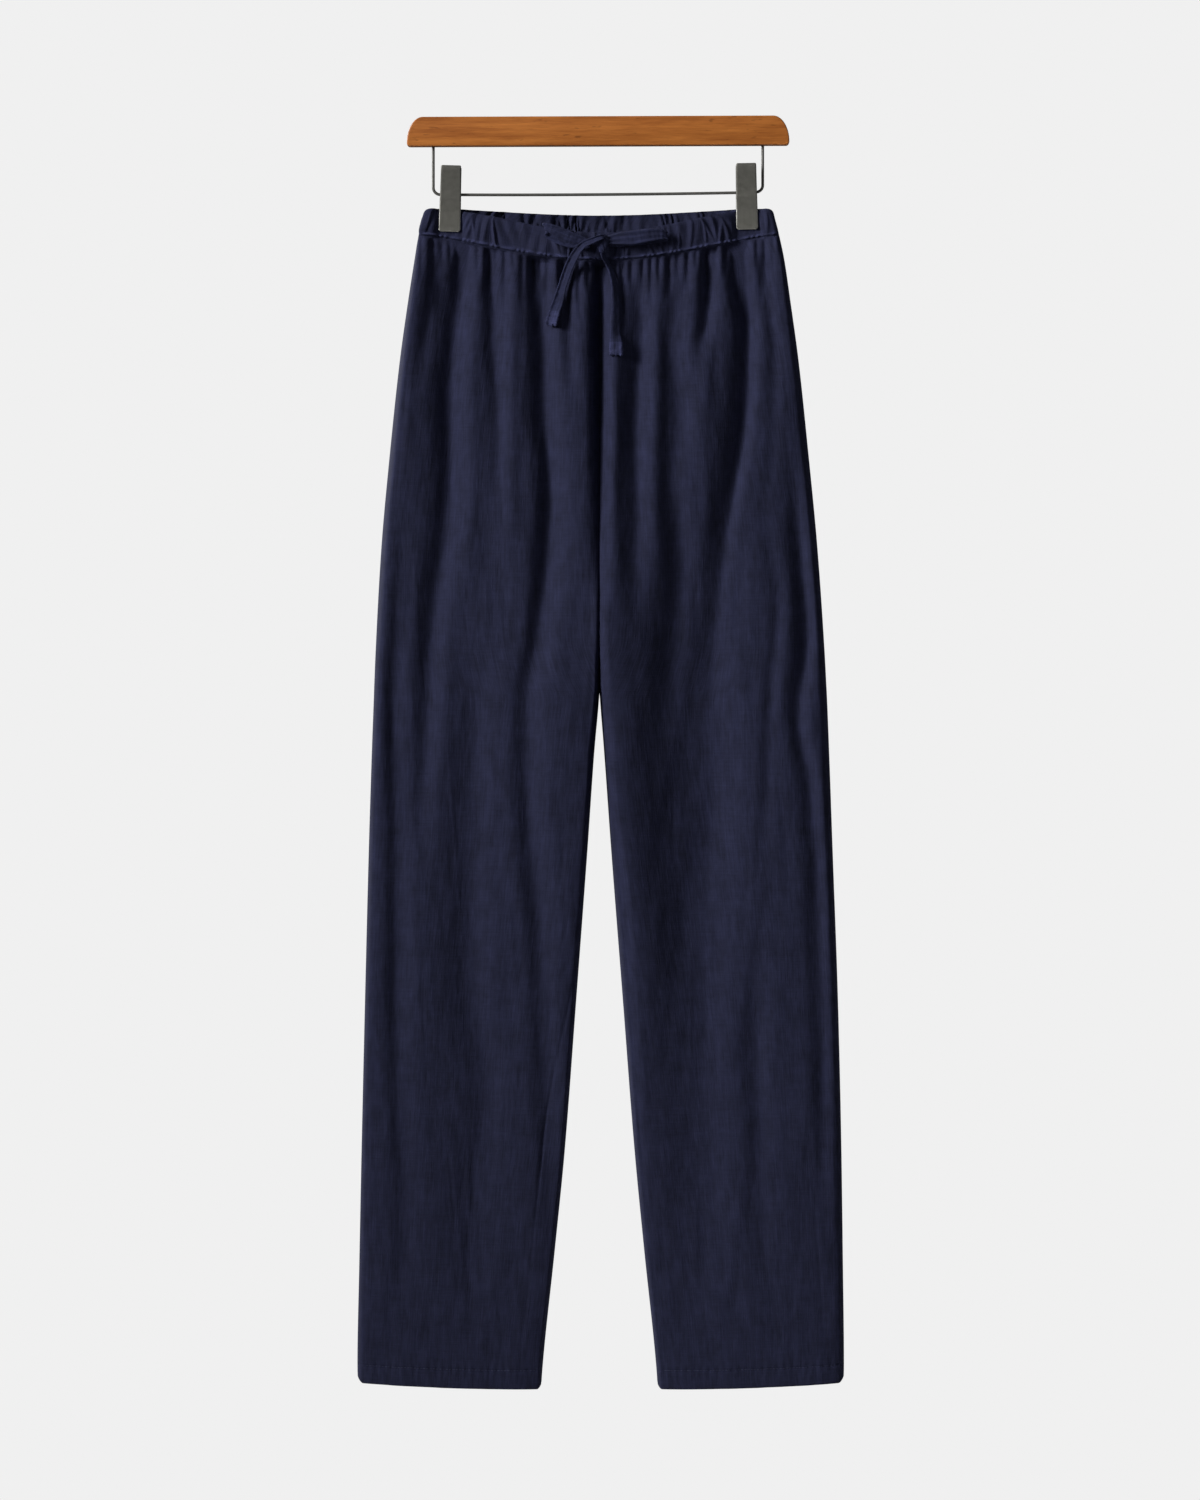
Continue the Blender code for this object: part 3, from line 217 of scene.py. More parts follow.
# Long folds: height (negative for a trough), widths of the flanks to the left and right of
# its line, and the places it runs through with its strength there
Place = namedtuple("Place", "drop x strength")
Fold = namedtuple("Fold", "height left right route")
FRONT_FOLDS = (
    Fold(0.0085, 0.1100, 0.0700, ((0.240, 0.002, 0.0), (0.360, 0.002, 0.8), (0.450, 0.003, 1.0),
        (0.560, 0.003, 1.0), (0.700, 0.000, 0.6), (0.850, 0.000, 0.0))),
    Fold(-0.0040, 0.0065, 0.0100, ((0.112, -0.146, 0.7), (0.150, -0.148, 1.0), (0.200, -0.156, 0.8),
        (0.255, -0.164, 0.0))),
    Fold(0.0070, 0.0090, 0.0230, ((0.118, -0.158, 0.0), (0.150, -0.164, 0.8), (0.200, -0.172, 1.0),
        (0.280, -0.180, 1.0), (0.370, -0.187, 1.0), (0.450, -0.190, 0.7), (0.520, -0.190, 0.0))),
    Fold(-0.0056, 0.0065, 0.0120, ((0.330, -0.178, 0.0), (0.420, -0.179, 0.6), (0.526, -0.184, 1.0),
        (0.640, -0.182, 0.9), (0.780, -0.182, 0.8), (0.886, -0.180, 0.6), (0.994, -0.176, 0.4),
        (1.090, -0.178, 0.0))),
    Fold(-0.0092, 0.0100, 0.0095, ((0.108, -0.120, 0.8), (0.135, -0.122, 1.0), (0.188, -0.129, 1.0),
        (0.265, -0.134, 1.0), (0.328, -0.134, 0.95), (0.380, -0.138, 0.8), (0.436, -0.147, 0.75),
        (0.520, -0.154, 0.8), (0.600, -0.158, 0.55), (0.690, -0.164, 0.0))),
    Fold(-0.0062, 0.0062, 0.0085, ((0.108, -0.097, 0.9), (0.150, -0.096, 1.0), (0.200, -0.095, 0.9),
        (0.265, -0.091, 0.55), (0.370, -0.090, 0.0))),
    Fold(-0.0092, 0.0076, 0.0120, ((0.108, -0.057, 0.8), (0.135, -0.055, 1.0), (0.188, -0.052, 1.0),
        (0.265, -0.050, 1.0), (0.328, -0.045, 1.0), (0.400, -0.048, 0.9), (0.470, -0.055, 0.7),
        (0.526, -0.065, 0.55), (0.616, -0.064, 0.6), (0.724, -0.055, 0.55), (0.832, -0.050, 0.4),
        (0.950, -0.046, 0.3), (1.050, -0.045, 0.0))),
    Fold(-0.0052, 0.0046, 0.0060, ((0.108, -0.032, 0.9), (0.150, -0.030, 1.0), (0.200, -0.028, 0.7),
        (0.265, -0.025, 0.0))),
    Fold(-0.0120, 0.0062, 0.0054, ((0.108, 0.0013, 0.5), (0.135, 0.0013, 0.8), (0.200, 0.0013, 1.0),
        (0.260, 0.0013, 0.9), (0.330, 0.0013, 0.6), (0.400, 0.0013, 0.25), (0.450, 0.0013, 0.0))),
    Fold(-0.0060, 0.0080, 0.0090, ((0.125, 0.030, 0.0), (0.157, 0.033, 0.8), (0.188, 0.037, 1.0),
        (0.238, 0.034, 1.0), (0.300, 0.032, 1.0), (0.364, 0.034, 0.8), (0.410, 0.031, 0.5),
        (0.470, 0.030, 0.0))),
    Fold(-0.0040, 0.0080, 0.0110, ((0.108, 0.062, 0.5), (0.157, 0.069, 0.9), (0.211, 0.066, 0.8),
        (0.265, 0.071, 0.7), (0.328, 0.066, 0.9), (0.400, 0.070, 1.0), (0.460, 0.066, 0.8),
        (0.540, 0.058, 0.3), (0.600, 0.050, 0.0))),
    Fold(-0.0062, 0.0055, 0.0070, ((0.108, 0.098, 0.8), (0.150, 0.099, 1.0), (0.188, 0.095, 0.8),
        (0.215, 0.090, 0.4), (0.260, 0.088, 0.0))),
    Fold(-0.0096, 0.0092, 0.0068, ((0.108, 0.124, 0.9), (0.150, 0.127, 1.0), (0.188, 0.133, 1.0),
        (0.238, 0.132, 1.0), (0.292, 0.127, 0.95), (0.340, 0.119, 0.7), (0.400, 0.110, 0.3),
        (0.470, 0.103, 0.15), (0.540, 0.098, 0.0))),
    Fold(0.0085, 0.0070, 0.0340, ((0.360, 0.008, 0.0), (0.440, 0.008, 0.7), (0.540, 0.010, 1.0),
        (0.620, 0.017, 1.0), (0.680, 0.026, 1.0), (0.800, 0.036, 0.7), (0.930, 0.044, 0.3),
        (1.040, 0.050, 0.0))),
    Fold(-0.0100, 0.0330, 0.0230, ((0.330, 0.110, 0.0), (0.410, 0.106, 0.5), (0.520, 0.098, 0.9),
        (0.620, 0.097, 1.0), (0.724, 0.093, 0.8), (0.832, 0.091, 0.7), (0.940, 0.092, 0.6),
        (1.040, 0.090, 0.4), (1.120, 0.088, 0.1))),
    Fold(-0.0026, 0.0050, 0.0060, ((0.108, 0.150, 0.8), (0.157, 0.150, 1.0), (0.211, 0.157, 0.9),
        (0.300, 0.155, 0.2), (0.364, 0.150, 0.2), (0.436, 0.160, 0.5), (0.526, 0.153, 0.8),
        (0.616, 0.150, 0.5), (0.700, 0.148, 0.0))),
    Fold(-0.0058, 0.0065, 0.0070, ((0.300, 0.176, 0.0), (0.345, 0.177, 0.4), (0.400, 0.180, 0.9),
        (0.470, 0.185, 1.0), (0.540, 0.178, 0.9), (0.600, 0.188, 0.7), (0.720, 0.196, 0.6),
        (0.886, 0.200, 0.4), (1.000, 0.201, 0.0))),
    Fold(-0.0058, 0.0380, 0.0500, ((0.370, -0.104, 0.0), (0.500, -0.106, 0.8), (0.600, -0.108, 1.0),
        (0.900, -0.106, 0.9), (1.050, -0.104, 0.4), (1.130, -0.102, 0.1))),
    Fold(-0.0048, 0.0140, 0.0140, ((0.470, -0.110, 0.0), (0.540, -0.112, 0.7), (0.616, -0.114, 1.0),
        (0.700, -0.118, 1.0), (0.778, -0.114, 1.0), (0.886, -0.103, 0.6), (0.994, -0.112, 0.5),
        (1.060, -0.110, 0.0))),
    Fold(-0.0046, 0.0090, 0.0100, ((0.690, 0.143, 0.0), (0.780, 0.142, 0.3), (0.850, 0.140, 1.0),
        (0.910, 0.144, 0.9), (0.970, 0.142, 0.4), (1.060, 0.152, 0.3), (1.120, 0.158, 0.0))),
    Fold(0.0022, 0.0060, 0.0080, ((0.150, -0.079, 0.0), (0.200, -0.079, 1.0), (0.320, -0.080, 1.0),
        (0.430, -0.079, 0.0))),
    Fold(0.0026, 0.0070, 0.0090, ((0.180, -0.116, 0.0), (0.230, -0.116, 1.0), (0.340, -0.115, 0.8),
        (0.440, -0.118, 0.0))),
    Fold(0.0028, 0.0060, 0.0070, ((0.150, 0.013, 0.0), (0.200, 0.014, 1.0), (0.330, 0.013, 1.0),
        (0.440, 0.012, 0.0))),
    Fold(0.0030, 0.0080, 0.0080, ((0.150, 0.050, 0.0), (0.220, 0.050, 1.0), (0.330, 0.049, 1.0),
        (0.430, 0.050, 0.0))),
    Fold(0.0030, 0.0100, 0.0100, ((0.170, 0.086, 0.0), (0.240, 0.092, 1.0), (0.340, 0.094, 0.8),
        (0.430, 0.088, 0.0))),
)
BACK_FOLDS = (
    Fold(-0.0050, 0.0080, 0.0070, ((0.108, -0.146, 0.7), (0.160, -0.150, 1.0), (0.240, -0.158, 0.7),
        (0.330, -0.166, 0.0))),
    Fold(-0.0080, 0.0090, 0.0075, ((0.108, -0.117, 0.8), (0.150, -0.118, 1.0), (0.240, -0.121, 1.0),
        (0.330, -0.128, 0.8), (0.440, -0.132, 0.4), (0.540, -0.136, 0.0))),
    Fold(0.0030, 0.0090, 0.0080, ((0.150, -0.096, 0.0), (0.230, -0.092, 1.0), (0.360, -0.088, 0.9),
        (0.480, -0.086, 0.0))),
    Fold(-0.0086, 0.0100, 0.0080, ((0.108, -0.066, 0.8), (0.150, -0.064, 1.0), (0.250, -0.060, 1.0),
        (0.350, -0.060, 0.8), (0.460, -0.066, 0.5), (0.600, -0.074, 0.35), (0.760, -0.070, 0.0))),
    Fold(-0.0056, 0.0060, 0.0060, ((0.108, -0.036, 0.8), (0.160, -0.034, 1.0), (0.240, -0.030, 0.6),
        (0.320, -0.030, 0.0))),
    Fold(-0.0070, 0.0056, 0.0056, ((0.108, 0.0013, 0.5), (0.140, 0.0013, 0.9), (0.300, 0.0013, 1.0),
        (0.420, 0.0013, 0.5), (0.500, 0.0013, 0.0))),
    Fold(-0.0050, 0.0060, 0.0060, ((0.108, 0.028, 0.8), (0.160, 0.030, 1.0), (0.230, 0.034, 0.5),
        (0.300, 0.036, 0.0))),
    Fold(-0.0084, 0.0080, 0.0095, ((0.108, 0.058, 0.8), (0.150, 0.057, 1.0), (0.260, 0.056, 1.0),
        (0.380, 0.060, 0.7), (0.500, 0.062, 0.4), (0.660, 0.070, 0.3), (0.800, 0.070, 0.0))),
    Fold(0.0034, 0.0080, 0.0090, ((0.150, 0.080, 0.0), (0.230, 0.084, 1.0), (0.370, 0.088, 0.9),
        (0.480, 0.092, 0.0))),
    Fold(-0.0078, 0.0075, 0.0090, ((0.108, 0.108, 0.8), (0.160, 0.112, 1.0), (0.260, 0.116, 1.0),
        (0.350, 0.122, 0.7), (0.450, 0.126, 0.0))),
    Fold(-0.0048, 0.0070, 0.0080, ((0.108, 0.142, 0.7), (0.170, 0.148, 1.0), (0.250, 0.156, 0.7),
        (0.340, 0.162, 0.0))),
    Fold(0.0042, 0.0150, 0.0140, ((0.430, -0.118, 0.0), (0.560, -0.112, 1.0), (0.760, -0.108, 0.8),
        (0.950, -0.104, 0.0))),
    Fold(-0.0052, 0.0100, 0.0100, ((0.440, -0.164, 0.0), (0.540, -0.161, 1.0), (0.700, -0.158, 0.8),
        (0.850, -0.160, 0.3), (0.980, -0.166, 0.0))),
    Fold(-0.0046, 0.0130, 0.0150, ((0.620, -0.062, 0.0), (0.760, -0.068, 1.0), (0.920, -0.074, 0.8),
        (1.080, -0.080, 0.0))),
    Fold(0.0040, 0.0140, 0.0150, ((0.430, 0.102, 0.0), (0.560, 0.108, 1.0), (0.780, 0.112, 0.8),
        (0.960, 0.112, 0.0))),
    Fold(-0.0054, 0.0100, 0.0110, ((0.430, 0.158, 0.0), (0.530, 0.160, 1.0), (0.680, 0.158, 0.9),
        (0.840, 0.162, 0.4), (0.980, 0.168, 0.0))),
    Fold(-0.0044, 0.0140, 0.0130, ((0.640, 0.064, 0.0), (0.780, 0.068, 1.0), (0.940, 0.076, 0.7),
        (1.090, 0.084, 0.0))),
)
FOLDS = {"front": FRONT_FOLDS, "back": BACK_FOLDS}

# Short gathers pinched in at the waistband seam: place, depth, half width and length
Gather = namedtuple("Gather", "x depth width length")
FRONT_GATHERS = (
    Gather(-0.1590, 0.0028, 0.0026, 0.040),
    Gather(-0.1485, 0.0036, 0.0030, 0.050),
    Gather(-0.1400, 0.0032, 0.0028, 0.034),
    Gather(-0.1330, 0.0026, 0.0024, 0.026),
    Gather(-0.1245, 0.0040, 0.0030, 0.046),
    Gather(-0.1180, 0.0030, 0.0024, 0.030),
    Gather(-0.1080, 0.0030, 0.0026, 0.040),
    Gather(-0.0985, 0.0040, 0.0030, 0.052),
    Gather(-0.0915, 0.0022, 0.0022, 0.022),
    Gather(-0.0834, 0.0046, 0.0034, 0.085),
    Gather(-0.0760, 0.0020, 0.0022, 0.020),
    Gather(-0.0681, 0.0026, 0.0030, 0.070),
    Gather(-0.0590, 0.0040, 0.0030, 0.060),
    Gather(-0.0520, 0.0022, 0.0022, 0.024),
    Gather(-0.0450, 0.0034, 0.0028, 0.060),
    Gather(-0.0324, 0.0044, 0.0030, 0.044),
    Gather(-0.0245, 0.0022, 0.0022, 0.030),
    Gather(-0.0171, 0.0034, 0.0028, 0.068),
    Gather(-0.0092, 0.0032, 0.0024, 0.034),
    Gather(0.0085, 0.0026, 0.0022, 0.030),
    Gather(0.0153, 0.0038, 0.0028, 0.036),
    Gather(0.0216, 0.0044, 0.0030, 0.078),
    Gather(0.0300, 0.0026, 0.0024, 0.028),
    Gather(0.0405, 0.0034, 0.0026, 0.040),
    Gather(0.0477, 0.0038, 0.0028, 0.062),
    Gather(0.0547, 0.0028, 0.0024, 0.032),
    Gather(0.0637, 0.0034, 0.0026, 0.046),
    Gather(0.0720, 0.0024, 0.0024, 0.026),
    Gather(0.0808, 0.0038, 0.0028, 0.042),
    Gather(0.0880, 0.0022, 0.0022, 0.022),
    Gather(0.0965, 0.0042, 0.0030, 0.060),
    Gather(0.1060, 0.0026, 0.0024, 0.030),
    Gather(0.1150, 0.0034, 0.0028, 0.036),
    Gather(0.1225, 0.0036, 0.0028, 0.050),
    Gather(0.1305, 0.0036, 0.0028, 0.050),
    Gather(0.1345, 0.0036, 0.0032, 0.090),
    Gather(0.1430, 0.0030, 0.0026, 0.034),
    Gather(0.1500, 0.0036, 0.0030, 0.050),
    Gather(0.1575, 0.0022, 0.0026, 0.040),
    Gather(0.1630, 0.0020, 0.0024, 0.034),
)
GATHER_STRETCH = 1.15
GATHER_DEPTH = 1.15
GATHER_WIDENING = 0.8
GATHER_SHARPNESS = 1.7
BACK_GATHER_COUNT = 26
BACK_GATHER_SPAN = (-0.158, 0.160)
BACK_GATHER_DEPTH = (0.0024, 0.0038)
BACK_GATHER_LENGTH = (0.018, 0.050)
BACK_GATHER_WIDTH = 0.0026

# The folds' flanks face the light on the left less steeply than the shade on the right
FOLD_SHIFT = 0.0016
FOLD_LEFT_WIDER = 1.35
FOLD_HEIGHT = 1.25
FOLD_LEAD = 0.02

# Cloth that puffs out below the waistband seam, and how it leaves the seam
PUFF_HEIGHT = 0.0048
PUFF_AT_CLIPS = 0.0075
PUFF_AT_SEAM = 0.45
PUFF_LENGTH = 0.0650
PUFF_ONSET = 0.0160
FLATTENED_DEPTH = 0.0060
SEAM_RELIEF = 0.40
SEAM_GROW = 0.0050
SEAM_LEDGE = 0.0014
SEAM_OVERLAP = 0.0008

# Waves that space the columns of a mesh unevenly
SPACING_WAVES = (Wave(0.011, 20.7, 0.6), Wave(0.006, 47.0, 2.0))

# Small pressed creases and the soft unevenness of worn linen
STREAKS = 70
STREAK_DROP = (BAND_SEAM + 0.05, HEM - 0.02)
STREAK_LENGTH = (0.030, 0.140)
STREAK_WIDTH = (0.0014, 0.0038)
STREAK_HEIGHT = (0.00012, 0.00045)
STREAK_LEAN = 0.10
Ripple = namedtuple("Ripple", "width length height")
RIPPLES = (Ripple(0.018, 0.090, 0.00018), Ripple(0.007, 0.030, 0.00008), Ripple(0.050, 0.160, 0.0004))
RIPPLE_WAVES = 6
RIPPLE_SUM = 2.4
RIPPLE_RANGE = (0.6, 1.6)
RIPPLE_BEND = (0.5, 1.5)
RIPPLE_BEND_PACE = 0.37
MARKS_ONSET = 0.05

# Lines of the seam allowances inside the legs. The left leg's inseam turns to the front.
SEAM_ALLOWANCE = 0.0060
SEAM_LINE_WIDTH = 0.0014
SEAM_LINE_DEPTH = 0.0007
SEAM_LINE_TOP = 0.42
SEAM_LINE_FADE = 0.15
INSEAM_UNTURNED = 0.0010
INSEAM_TURNED = 0.0205
INSEAM_TURN_TOP = 0.73
INSEAM_TURN_RUN = 0.20
INSEAM_TURNED_DEPTH = 1.9
INSEAM_FADE_TOP = 0.96
INSEAM_FADE_RUN = 0.06
INSEAM_FADE = 0.6

# Rows and columns of the cloth meshes
EDGE_STEPS = 14
FRONT_FACE = 168
BACK_FACE = 120
NEAR_STEP = 0.0013
NEAR_REACH = 0.0850
BROAD_STEP = 0.0036
HEM_STEP = 0.0008
HEM_ROWS_ABOVE = 0.0040
INNER_SKIP = 3
SEAM_ROWS = (0.0, 0.0004, 0.0008, 0.0011, 0.0014, 0.0017, 0.0021, 0.0026)
BAND_FACE = 600
BAND_RISES = np.concatenate(((1.0, 0.985, 0.96), np.linspace(0.93, 0.16, 13), np.linspace(0.13, 0.0, 10)))

# Waistband: the elastic's puckers, and the welt above the seam with a painted highlight along it. Levels,
# rises, reaches and spreads are shares of the band's height.
PUCKERS = 44
PUCKER_HEIGHT = 0.0046
PUCKER_LEFT = 1.12
PUCKER_RIGHT = 0.80
PUCKER_WIDTHS = (0.60, 0.80, 1.05, 1.80)
PUCKER_HALF_WIDTH = 0.36
PUCKER_SHARPNESS = 1.7
PUCKER_MERGED = 0.30
PUCKER_LEAN = 1.7
PUCKER_BEND = 1.2
PUCKER_TALL = (0.45, 1.0)
PUCKER_LEVEL = (0.10, 0.95)
PUCKER_REACH = (0.35, 1.4)
PUCKER_SPACING = (0.60, 1.05)
PUCKER_INSIDE = 1.15
PUCKER_AT_ENDS = 0.55
PUCKER_AT_CLIPS = 0.15
PUCKER_ONSET = 0.07
PUCKER_SHIFT = 0.35
PUCKER_SIDES = 1.2
PUCKER_AT_WELT = 0.72
CLIP_CLEARANCE = 0.0098
CLIP_CLEARANCE_RUN = 0.0060
WELT_HEIGHT = 0.0024
WELT_RISE = 0.062
WELT_SPREAD = 0.044
WELT_ENDS = 0.008
# Painted highlight along the welt: where it lies, its spread, and how much paler the linen is painted there
WELT_HIGHLIGHT_RISE = 0.10
WELT_HIGHLIGHT_SPREAD = 0.050
WELT_HIGHLIGHT_PALER = 1.45
TOP_EDGE_TURN = 0.0007
TOP_EDGE_RISE = 0.93

# Clip plates: height above the rail, distance from the middle plane, half width
PlateRow = namedtuple("PlateRow", "rise out half_width")
HANDLE_TOP = PlateRow(0.0225, 0.0086, 0.0091)
HANDLE_FOOT = PlateRow(0.0040, 0.0048, 0.0093)
JAW_TOP = PlateRow(-0.0040, 0.0042, 0.0095)
PLATE = (
    PlateRow(0.0258, 0.0086, 0.0090),
    HANDLE_TOP,
    HANDLE_FOOT,
    JAW_TOP,
    PlateRow(-0.0150, 0.0026, 0.0097),
    PlateRow(-0.0298, 0.0026, 0.0099),
    PlateRow(-0.0318, 0.0029, 0.0099),
    PlateRow(-0.0334, 0.0036, 0.0099),
)
Clip = namedtuple("Clip", "name x tilt_degrees")
CLIPS = (
    Clip("left", -0.1327, 1.6),
    Clip("right", 0.1336, -1.1),
)

# Drawstring: places on its centre line, how far it is lifted off the cloth, and its width
Lay = namedtuple("Lay", "x drop lift width")
LOOP_LEFT = (
    Lay(-0.0068, 0.1171, 0.0030, 0.0070),
    Lay(-0.0117, 0.1155, 0.0036, 0.0090),
    Lay(-0.0200, 0.1131, 0.0043, 0.0118),
    Lay(-0.0279, 0.1106, 0.0049, 0.0138),
    Lay(-0.0378, 0.1065, 0.0056, 0.0134),
    Lay(-0.0438, 0.1043, 0.0054, 0.0128),
    Lay(-0.0462, 0.1034, 0.0044, 0.0122),
    Lay(-0.0468, 0.1036, 0.0030, 0.0120),
    Lay(-0.0460, 0.1045, 0.0020, 0.0120),
    Lay(-0.0420, 0.1078, 0.0012, 0.0124),
    Lay(-0.0330, 0.1122, 0.0010, 0.0126),
    Lay(-0.0240, 0.1156, 0.0010, 0.0110),
    Lay(-0.0150, 0.1172, 0.0010, 0.0088),
    Lay(-0.0090, 0.1180, 0.0012, 0.0075),
)
LOOP_RIGHT = (
    Lay(0.0085, 0.1146, 0.0033, 0.0062),
    Lay(0.0110, 0.1132, 0.0037, 0.0085),
    Lay(0.0200, 0.1121, 0.0045, 0.0112),
    Lay(0.0306, 0.1114, 0.0049, 0.0128),
    Lay(0.0400, 0.1101, 0.0050, 0.0124),
    Lay(0.0486, 0.1088, 0.0048, 0.0117),
    Lay(0.0550, 0.1083, 0.0040, 0.0104),
    Lay(0.0600, 0.1088, 0.0029, 0.0080),
    Lay(0.0612, 0.1094, 0.0017, 0.0078),
    Lay(0.0590, 0.1100, 0.0014, 0.0086),
    Lay(0.0500, 0.1108, 0.0010, 0.0104),
    Lay(0.0380, 0.1122, 0.0010, 0.0108),
    Lay(0.0260, 0.1138, 0.0010, 0.0100),
    Lay(0.0160, 0.1150, 0.0010, 0.0085),
    Lay(0.0102, 0.1160, 0.0014, 0.0070),
)
TAIL_LEFT = (
    Lay(0.0060, 0.1124, 0.0046, 0.0046),
    Lay(0.0036, 0.1110, 0.0078, 0.0046),
    Lay(-0.0048, 0.1142, 0.0090, 0.0056),
    Lay(-0.0138, 0.1185, 0.0086, 0.0066),
    Lay(-0.0206, 0.1271, 0.0072, 0.0080),
    Lay(-0.0264, 0.1381, 0.0052, 0.0083),
    Lay(-0.0318, 0.1536, 0.0030, 0.0079),
    Lay(-0.0344, 0.1630, 0.0025, 0.0090),
    Lay(-0.0373, 0.1730, 0.0022, 0.0104),
    Lay(-0.0396, 0.1817, 0.0022, 0.0112),
    Lay(-0.0420, 0.1900, 0.0024, 0.0117),
)
TAIL_RIGHT = (
    Lay(0.0036, 0.1245, 0.0046, 0.0042),
    Lay(0.0052, 0.1281, 0.0046, 0.0045),
    Lay(0.0092, 0.1352, 0.0044, 0.0048),
    Lay(0.0130, 0.1450, 0.0042, 0.0054),
    Lay(0.0152, 0.1594, 0.0038, 0.0066),
    Lay(0.0158, 0.1746, 0.0034, 0.0078),
    Lay(0.0156, 0.1898, 0.0032, 0.0088),
    Lay(0.0154, 0.2032, 0.0030, 0.0108),
    Lay(0.0155, 0.2171, 0.0030, 0.0118),
)
KNOT = Lay(0.0036, 0.1166, 0.0046, 0.0150)
KNOT_HEIGHT = 0.0170
KNOT_DEPTH = 0.0062
KNOT_COLUMNS = 56
KNOT_LINES = 36
KNOT_FULL = 0.8
KNOT_FOOT = 0.60
Crease = namedtuple("Crease", "depth lean shift width")
KNOT_CREASES = (Crease(0.17, 0.75, -0.18, 0.10), Crease(0.13, -0.55, 0.42, 0.09),
                Crease(0.12, 1.10, 0.62, 0.08))
ROUTE_SAMPLES = 8

# Lengthwise form of each tape: a crease at groove with slopes to both sides, and ribs across it
Form = namedtuple("Form", "groove slope rib beats turn")
FORMS = {
    "bow_loop_left": Form(0.0, 0.0, 0.00030, 1.7, -0.50),
    "bow_loop_right": Form(0.0, 0.0, 0.00050, 2.6, 0.0),
    "bow_tail_left": Form(-0.35, 0.00150, 0.0, 1.0, 0.0),
    "bow_tail_right": Form(-0.62, -0.00280, 0.0, 1.0, 0.0),
}

# The cut pieces, laid flat: width, length and share of that rectangle which is cloth
Cut = namedtuple("Cut", "width length share")
BAND_CUT = Cut(0.440, 0.0255, 1.0)

# Stitches
STITCH_LENGTH = 0.0022
STITCH_PITCH = 0.0029
STITCH_RADIUS = 0.00021
STITCH_CORNERS = 6
STITCH_DRIFT = 0.00008
STITCH_SPACING = (0.94, 1.06)
STITCH_OUT = 0.00025
Ring = namedtuple("Ring", "share size lift")
STITCH_RINGS = (Ring(0.0, 0.45, -0.00006), Ring(0.5, 1.0, 0.00016), Ring(1.0, 0.45, -0.00006))
HEM_LINE_POINTS = 300
HEM_LINE_MARGIN = 18

# Second colours of the materials
SHEEN_TINT = "#7a80b4"
THREAD_SHADE = "#2c2f48"
WOOD_FLECK = "#743c14"
STEEL_SHADE = "#6b6a67"
FLOOR_GRAIN = "#efeeec"
COATING_SHADE = 0.85

# Camera and floor, and the square lights with the spread of their beams in degrees
CAMERA_DISTANCE = 6.0
CAMERA_LENS = 160.0
CAMERA_X = 0.0018
CAMERA_DROP = 0.5706
FLOOR_DROP = 1.75
FLOOR_SIZE = 3.0
Light = namedtuple("Light", "place target size spread")
LIGHTS = {
    "key": Light((-4.85, -3.53, 1.90), (1.4, 0.0, -0.3), 2.4, 37.0),
    "fill": Light((3.2, -1.7, 0.2), (0.0, 0.0, -0.50), 1.6, 180.0),
    "behind": Light((-1.9, 2.2, 0.9), (0.0, 0.0, -0.50), 1.6, 180.0),
}


class ClothSettings(bpy.types.PropertyGroup):
    """Colours and relief of the linen"""
    linen: StringProperty(name="Linen", description="Colour of the linen's raised threads", default="#323553")
    linen_shade: StringProperty(name="Linen shade", description="Colour between the linen's threads",
                                default="#212338")
    tape: StringProperty(name="Tape", description="Colour of the drawstring's raised threads",
                         default="#363a5c")
    tape_shade: StringProperty(name="Tape shade", description="Colour between the drawstring's threads",
                               default="#212338")
    tape_end: StringProperty(name="Tape end", description="Colour of the drawstring's rubbed ends",
                             default="#4b4f7a")
    thread: StringProperty(name="Thread", description="Colour of the sewing thread", default="#5a5f80")
    weave: FloatProperty(name="Weave", description="Distance between the threads that show",
                         default=0.0013, min=0.0003, unit="LENGTH")
    fold_depth: FloatProperty(name="Fold depth", description="Depth of the folds, as a share of their own",
                              default=1.0, min=0.0, max=1.2, subtype="FACTOR")


class HangerSettings(bpy.types.PropertyGroup):
    """Colours and edges of the hanger"""
    wood: StringProperty(name="Wood", description="Colour of the bar's wood", default="#e18b3f")
    wood_grain: StringProperty(name="Wood grain", description="Colour of the bar's darker grain",
                               default="#b56729")
    steel: StringProperty(name="Steel", description="Colour of the rail and springs", default="#82817d")
    plate: StringProperty(name="Clip plate", description="Colour of the clips' coating", default="#83827b")
    plate_edge: StringProperty(name="Clip edge", description="Colour of the clips' worn rim",
                               default="#b5b4ae")
    bar_edge: FloatProperty(name="Bar edge", description="Radius of the bar's eased edges",
                            default=0.0011, min=0.0002, max=0.003, unit="LENGTH")


class StageSettings(bpy.types.PropertyGroup):
    """Light, backdrop and floor"""
    backdrop: StringProperty(name="Backdrop", description="Colour behind the object", default="#f0f0f0")
    floor: StringProperty(name="Floor", description="Colour of the floor", default="#e6e5e2")
    key_power: FloatProperty(name="Key light", description="Power of the main light in watts",
                             default=27.0, min=0.0)
    fill_power: FloatProperty(name="Fill light", description="Power of the softer light in watts",
                              default=6.0, min=0.0)
    back_power: FloatProperty(name="Back light", description="Power of the light behind in watts",
                              default=60.0, min=0.0)
    ambient: FloatProperty(name="Ambient", description="Strength of the even light from all sides",
                           default=0.05, min=0.0, max=2.0)


def mix(start, end, share):
    """Value a share of the way from start to end."""
    return start + (end - start) * share


def smooth(share):
    """Ease from 0 to 1, level at both ends."""
    share = np.clip(share, 0.0, 1.0)
    return share * share * (3.0 - 2.0 * share)


def ease(share):
    """The same ease for a single number."""
    return float(smooth(share))


def wave_sum(waves, place):
    """Sum of waves at a place."""
    return sum(wave.height * np.sin(wave.beat * place + wave.phase) for wave in waves)


